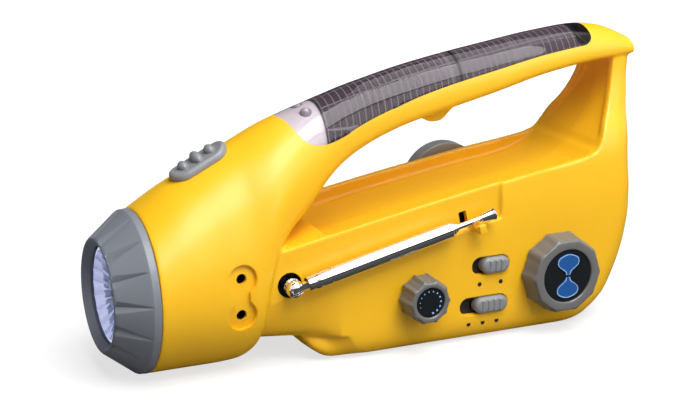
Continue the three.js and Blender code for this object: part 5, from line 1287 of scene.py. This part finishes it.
def build_antenna():
    place = antenna_matrix()

    def done(piece, body, name, material=CHROME):
        finished(piece, body, material, [name], place=place)

    base = revolved("pivot_ball", arc(0, 0, 3.5, -math.pi / 2, 25), 56, TO_Y)
    cut(base, slab("slot", (-2.5, -9, -1.5), (9, 2.5, 1.5)))
    join(base, revolved("shoulder", [(2.8, 0), (2.8, 3.4), (3.5, 3.4), (3.8, 3.1), (3.8, 0)], 48, TO_Y),
         rod("stem", 2.2, 2.6, 18.5, 40, TO_Y))
    cut(base, rod("bore", 1.0, -9, 9, 32, TO_Z))
    done(base, "antenna_base", "antenna_mount")
    done(pin("pivot_pin", 3.5, 0.8, 28, Matrix()), "antenna_base", "antenna_pin", STEEL)

    start, end, small, inside = TUBE_START, TUBE_END, TUBE - 0.3, TUBE - 0.4
    profile = [(start, 0), (start, small - 0.3), (start + 0.3, small), (start + 3.0, small),
               (start + 3.2, TUBE - 0.1), (start + 3.4, TUBE)]
    for groove in (start + 4.8, start + 9.6):
        profile += [(groove + along, radius) for along, radius in (
            (-0.05, TUBE), (0.05, small), (0.55, small), (0.65, TUBE))]
    profile += [(end - 0.3, TUBE), (end, TUBE - 0.2), (end, inside), (start + 6, inside), (start + 6, 0)]
    tube = revolved("outer_tube", profile, 64)
    tongue = rod("tongue", 2.2, -1.2, 1.2, 40, TO_Z)
    join(tube, tongue, slab("neck", (0, -1.2, -1.2), (start + CLEAR, 1.2, 1.2)))
    cut(tube, rod("bore", 1.1, -9, 9, 32, TO_Z))
    done(tube, "antenna_tube", "antenna_tube")
    for k in (1, 2):
        radius = TUBE - k * TUBE_STEP
        first, last = start + 6 + 2 * k, end + 1.4 * k
        profile = [(first, 0), (first, radius), (last - 0.2, radius), (last, radius - 0.15),
                   (last, radius - 0.4), (first + 1, radius - 0.4), (first + 1, 0)]
        name = f"antenna_section_{k + 1}"
        done(revolved(f"tube_{k + 1}", profile, 56), name, name)
    radius, tip = TUBE - 3 * TUBE_STEP, ROD_END + 6
    profile = [(start + 12, 0), (start + 12, radius), (ROD_END - 0.3, radius), (ROD_END, radius + 0.35),
               (ROD_END + 0.6, radius + 0.45), (tip - 1.2, 2.35), (tip - 0.4, 2.7), (tip - 0.15, 2.62),
               (tip, 2.3), (tip, 0)]
    done(revolved("thin_rod", profile, 56), "antenna_rod", "antenna_rod")


# Crank

def crank_matrix():
    return at(CRANK[0], HOUSING_HALF + CLEAR, CRANK[1]) @ Matrix.Rotation(CRANK_ANGLE, 4, "Y")


HINGE = at(43, 5.4, 0)
ARM_END = 51.0
ARM_WIDTH = 16
ARM_EDGE = ((0.3, 0.4), (0, 0.7), (0, 6.8), (0.2, 7.4), (0.7, 7.85), (1.3, 8.0))


def build_crank():
    place = crank_matrix()
    hub = [(0, 0), (0, 17.6), (0.4, 18)] + arc(6.0, 16.5, 1.5, 0, 7) + [(7.5, 9.4), (7.5, 0)]
    arm = revolved("hand_crank", hub, 120, TO_Y)
    join(arm, pill("bar", (ARM_END / 2, 0), ARM_END, ARM_WIDTH, ARM_EDGE, 24))
    slot = slab("slot", (15.6, -FAR, -5.4), (47.5, FAR, 5.4))
    bore = rod("bore", 1.5, -FAR, FAR, 32, HINGE @ TO_Z)
    cut(arm, slot, bore, rod("seat", SHAFT_BORE, -9, 7.5, 40, TO_Y), rod("pocket", 8.25, 6.1, FAR, 64, TO_Y))
    finished(arm, "crank", SWITCH_GREY, ["crank_arm"], place=place)
    cap = revolved("crank_disc", [(6.4, 0), (6.4, 8), (7.4, 8), (7.8, 7.6), (7.65, 5.2), (7.5, 0)], 72, TO_Y)
    finished(cap, "crank", KNOB_GREY, ["crank_cap"], place=place)
    finished(pin("hinge_pin", 8, 1.2, 32, HINGE), "crank", STEEL, ["grip_pin"], place=place)
    near, far, step = -4.5, -26.5, -24.8
    sleeve = [(near, 2.1), (near, 4.1), (near - 0.5, 4.6), (far + 0.6, 4.6), (far, 4.0), (far, 3.2),
              (step, 3.2), (step, 2.1)]
    grip = revolved("grip_barrel", sleeve, 72)
    finished(grip, "grip_sleeve", KNOB_GREY, ["grip_sleeve"], place=place @ HINGE)


# Pieces of the frame that keep their shape and get a finish

FINISHES = {
    BOARD: ("lamp_board", "main_board"),
    BLACK: ("head_switch_body", "volume_pot", "tuning_pot", "upper_switch", "lower_switch", "phone_jack",
            "power_jack", "battery_pack"),
    STEEL: ("crank_shaft", "grip_stem", "gear_plate", "dynamo_can", "dynamo_rotor", "speaker_frame",
            "speaker_magnet"),
    PAPER: ("speaker_cone",),
    NYLON: ("idler_gear",),
}


def finish_nodes():
    for material, names in FINISHES.items():
        for name in names:
            mesh = nodes[name].data
            mesh.materials.clear()
            mesh.materials.append(material)


# Stage, lights and camera

def shown_to_eye(tree):
    """One where a ray comes from the camera, a mirror or glass, and nothing for other rays."""
    path = node(tree, "ShaderNodeLightPath").outputs
    seen = worked(tree, "MAXIMUM", path["Is Camera Ray"], path["Is Glossy Ray"])
    return worked(tree, "MAXIMUM", seen, path["Is Transmission Ray"])


def floor_material():
    """Pale sheet that takes the shadow near the object and looks white further out."""
    material, tree = new_material("floor_sheet")
    away = node(tree, "ShaderNodeVectorMath", {0: own_place(tree)}, operation="LENGTH").outputs["Value"]
    glow = worked(tree, "MULTIPLY", ranged(tree, away, 0.70, 1.0, 0.12, 0.5), shown_to_eye(tree))
    shade(tree, {
        "Base Color": (0.30, 0.30, 0.30), "Roughness": 1.0, "Specular IOR Level": 0.0,
        "Emission Color": (1, 1, 1), "Emission Strength": glow})
    return material


def staged(name, line, low_x, high_x, material):
    """Sheet that follows a line of (y, z) points across a run of x."""
    mesh = bpy.data.meshes.new(name)
    points = [(x, y, z) for y, z in line for x in (low_x, high_x)]
    mesh.from_pydata(points, [], [(2 * k, 2 * k + 1, 2 * k + 3, 2 * k + 2) for k in range(len(line) - 1)])
    sheet = linked(name, mesh)
    mesh.materials.append(material)
    return sheet


def build_stage():
    staged("floor", [(-3.0, 0), (3.0, 0)], -3.0, 3.0, floor_material())
    dark = moulded("dark_card", (0.02, 0.02, 0.02), (0.015, 0.015, 0.015), (0.9, 1.0), 0.0)
    low = staged("low_card", [(0.7, 0.001), (-0.9, 0.001), (-0.9, 0.30)], -0.3, 1.0, dark)
    high = staged("high_card", [(0.8, 0.05), (0.8, 1.1), (-0.1, 1.3)], -1.0, 1.2, dark)
    for card in (low, high):
        card.visible_camera = card.visible_diffuse = card.visible_shadow = card.visible_transmission = False

    world = bpy.data.worlds.new("studio")
    bpy.context.scene.world = world
    world.use_nodes = True
    tree = world.node_tree
    plain = tree.nodes["Background"]
    feed(tree, plain.inputs["Color"], (0.96, 0.97, 1.0))
    feed(tree, plain.inputs["Strength"], 0.17)
    white = node(tree, "ShaderNodeBackground", {"Color": (1, 1, 1), "Strength": 1.0})
    surfaced(tree, "World Output", shown_to_eye(tree), plain, white)


LIT_POINT = Vector((0, 0, 0.06))


def area_light(name, place, size, power):
    """Light panel that faces the middle of the object."""
    lamp = bpy.data.lights.new(name, "AREA")
    lamp.shape = "RECTANGLE"
    lamp.size, lamp.size_y = size
    lamp.energy = power
    light = linked(name, lamp)
    light.location = place
    light.rotation_euler = (LIT_POINT - Vector(place)).to_track_quat("-Z", "Y").to_euler()


def build_lights():
    area_light("key", (0.08, -0.62, 1.12), (0.9, 0.8), 19.5)
    area_light("fill", (0.54, -0.96, 0.54), (0.7, 0.6), 3.6)
    area_light("top", (0.30, 0.18, 1.18), (0.9, 0.6), 4.6)


CAMERA_AZIMUTH = math.radians(-25.03)
CAMERA_RISE = math.radians(15.89)
CAMERA_ROLL = math.radians(0.31)
CAMERA_DISTANCE = 675.6
CAMERA_TARGET = (90.43, 0.0, 54.97)
SENSOR = 36
# Focal length and width of the photo in pixels, which set the lens
CAMERA_LENS = 1679.0 * SENSOR / 700


def build_camera():
    back = Vector((
        math.sin(CAMERA_AZIMUTH) * math.cos(CAMERA_RISE), -math.cos(CAMERA_AZIMUTH) * math.cos(CAMERA_RISE),
        math.sin(CAMERA_RISE)))
    target = ROW @ Vector(CAMERA_TARGET)
    turn = (-back).to_track_quat("-Z", "Y").to_matrix() @ Matrix.Rotation(CAMERA_ROLL, 3, "Z")
    camera = bpy.data.cameras.new("camera")
    camera.sensor_width = SENSOR
    camera.lens = CAMERA_LENS
    holder = linked("camera", camera)
    holder.matrix_world = Matrix.Translation(target + back * CAMERA_DISTANCE * MM) @ turn.to_4x4()
    bpy.context.scene.camera = holder


bpy.context.scene.view_settings.view_transform = "Standard"
for build in (
        build_camera, build_stage, build_lights, build_body, build_screws, build_bezel, build_lamp,
        build_window, build_cells, build_switch, build_volume, build_tuning, build_sliders, build_antenna,
        build_crank, finish_nodes):
    build()

bpy.context.view_layer.update()
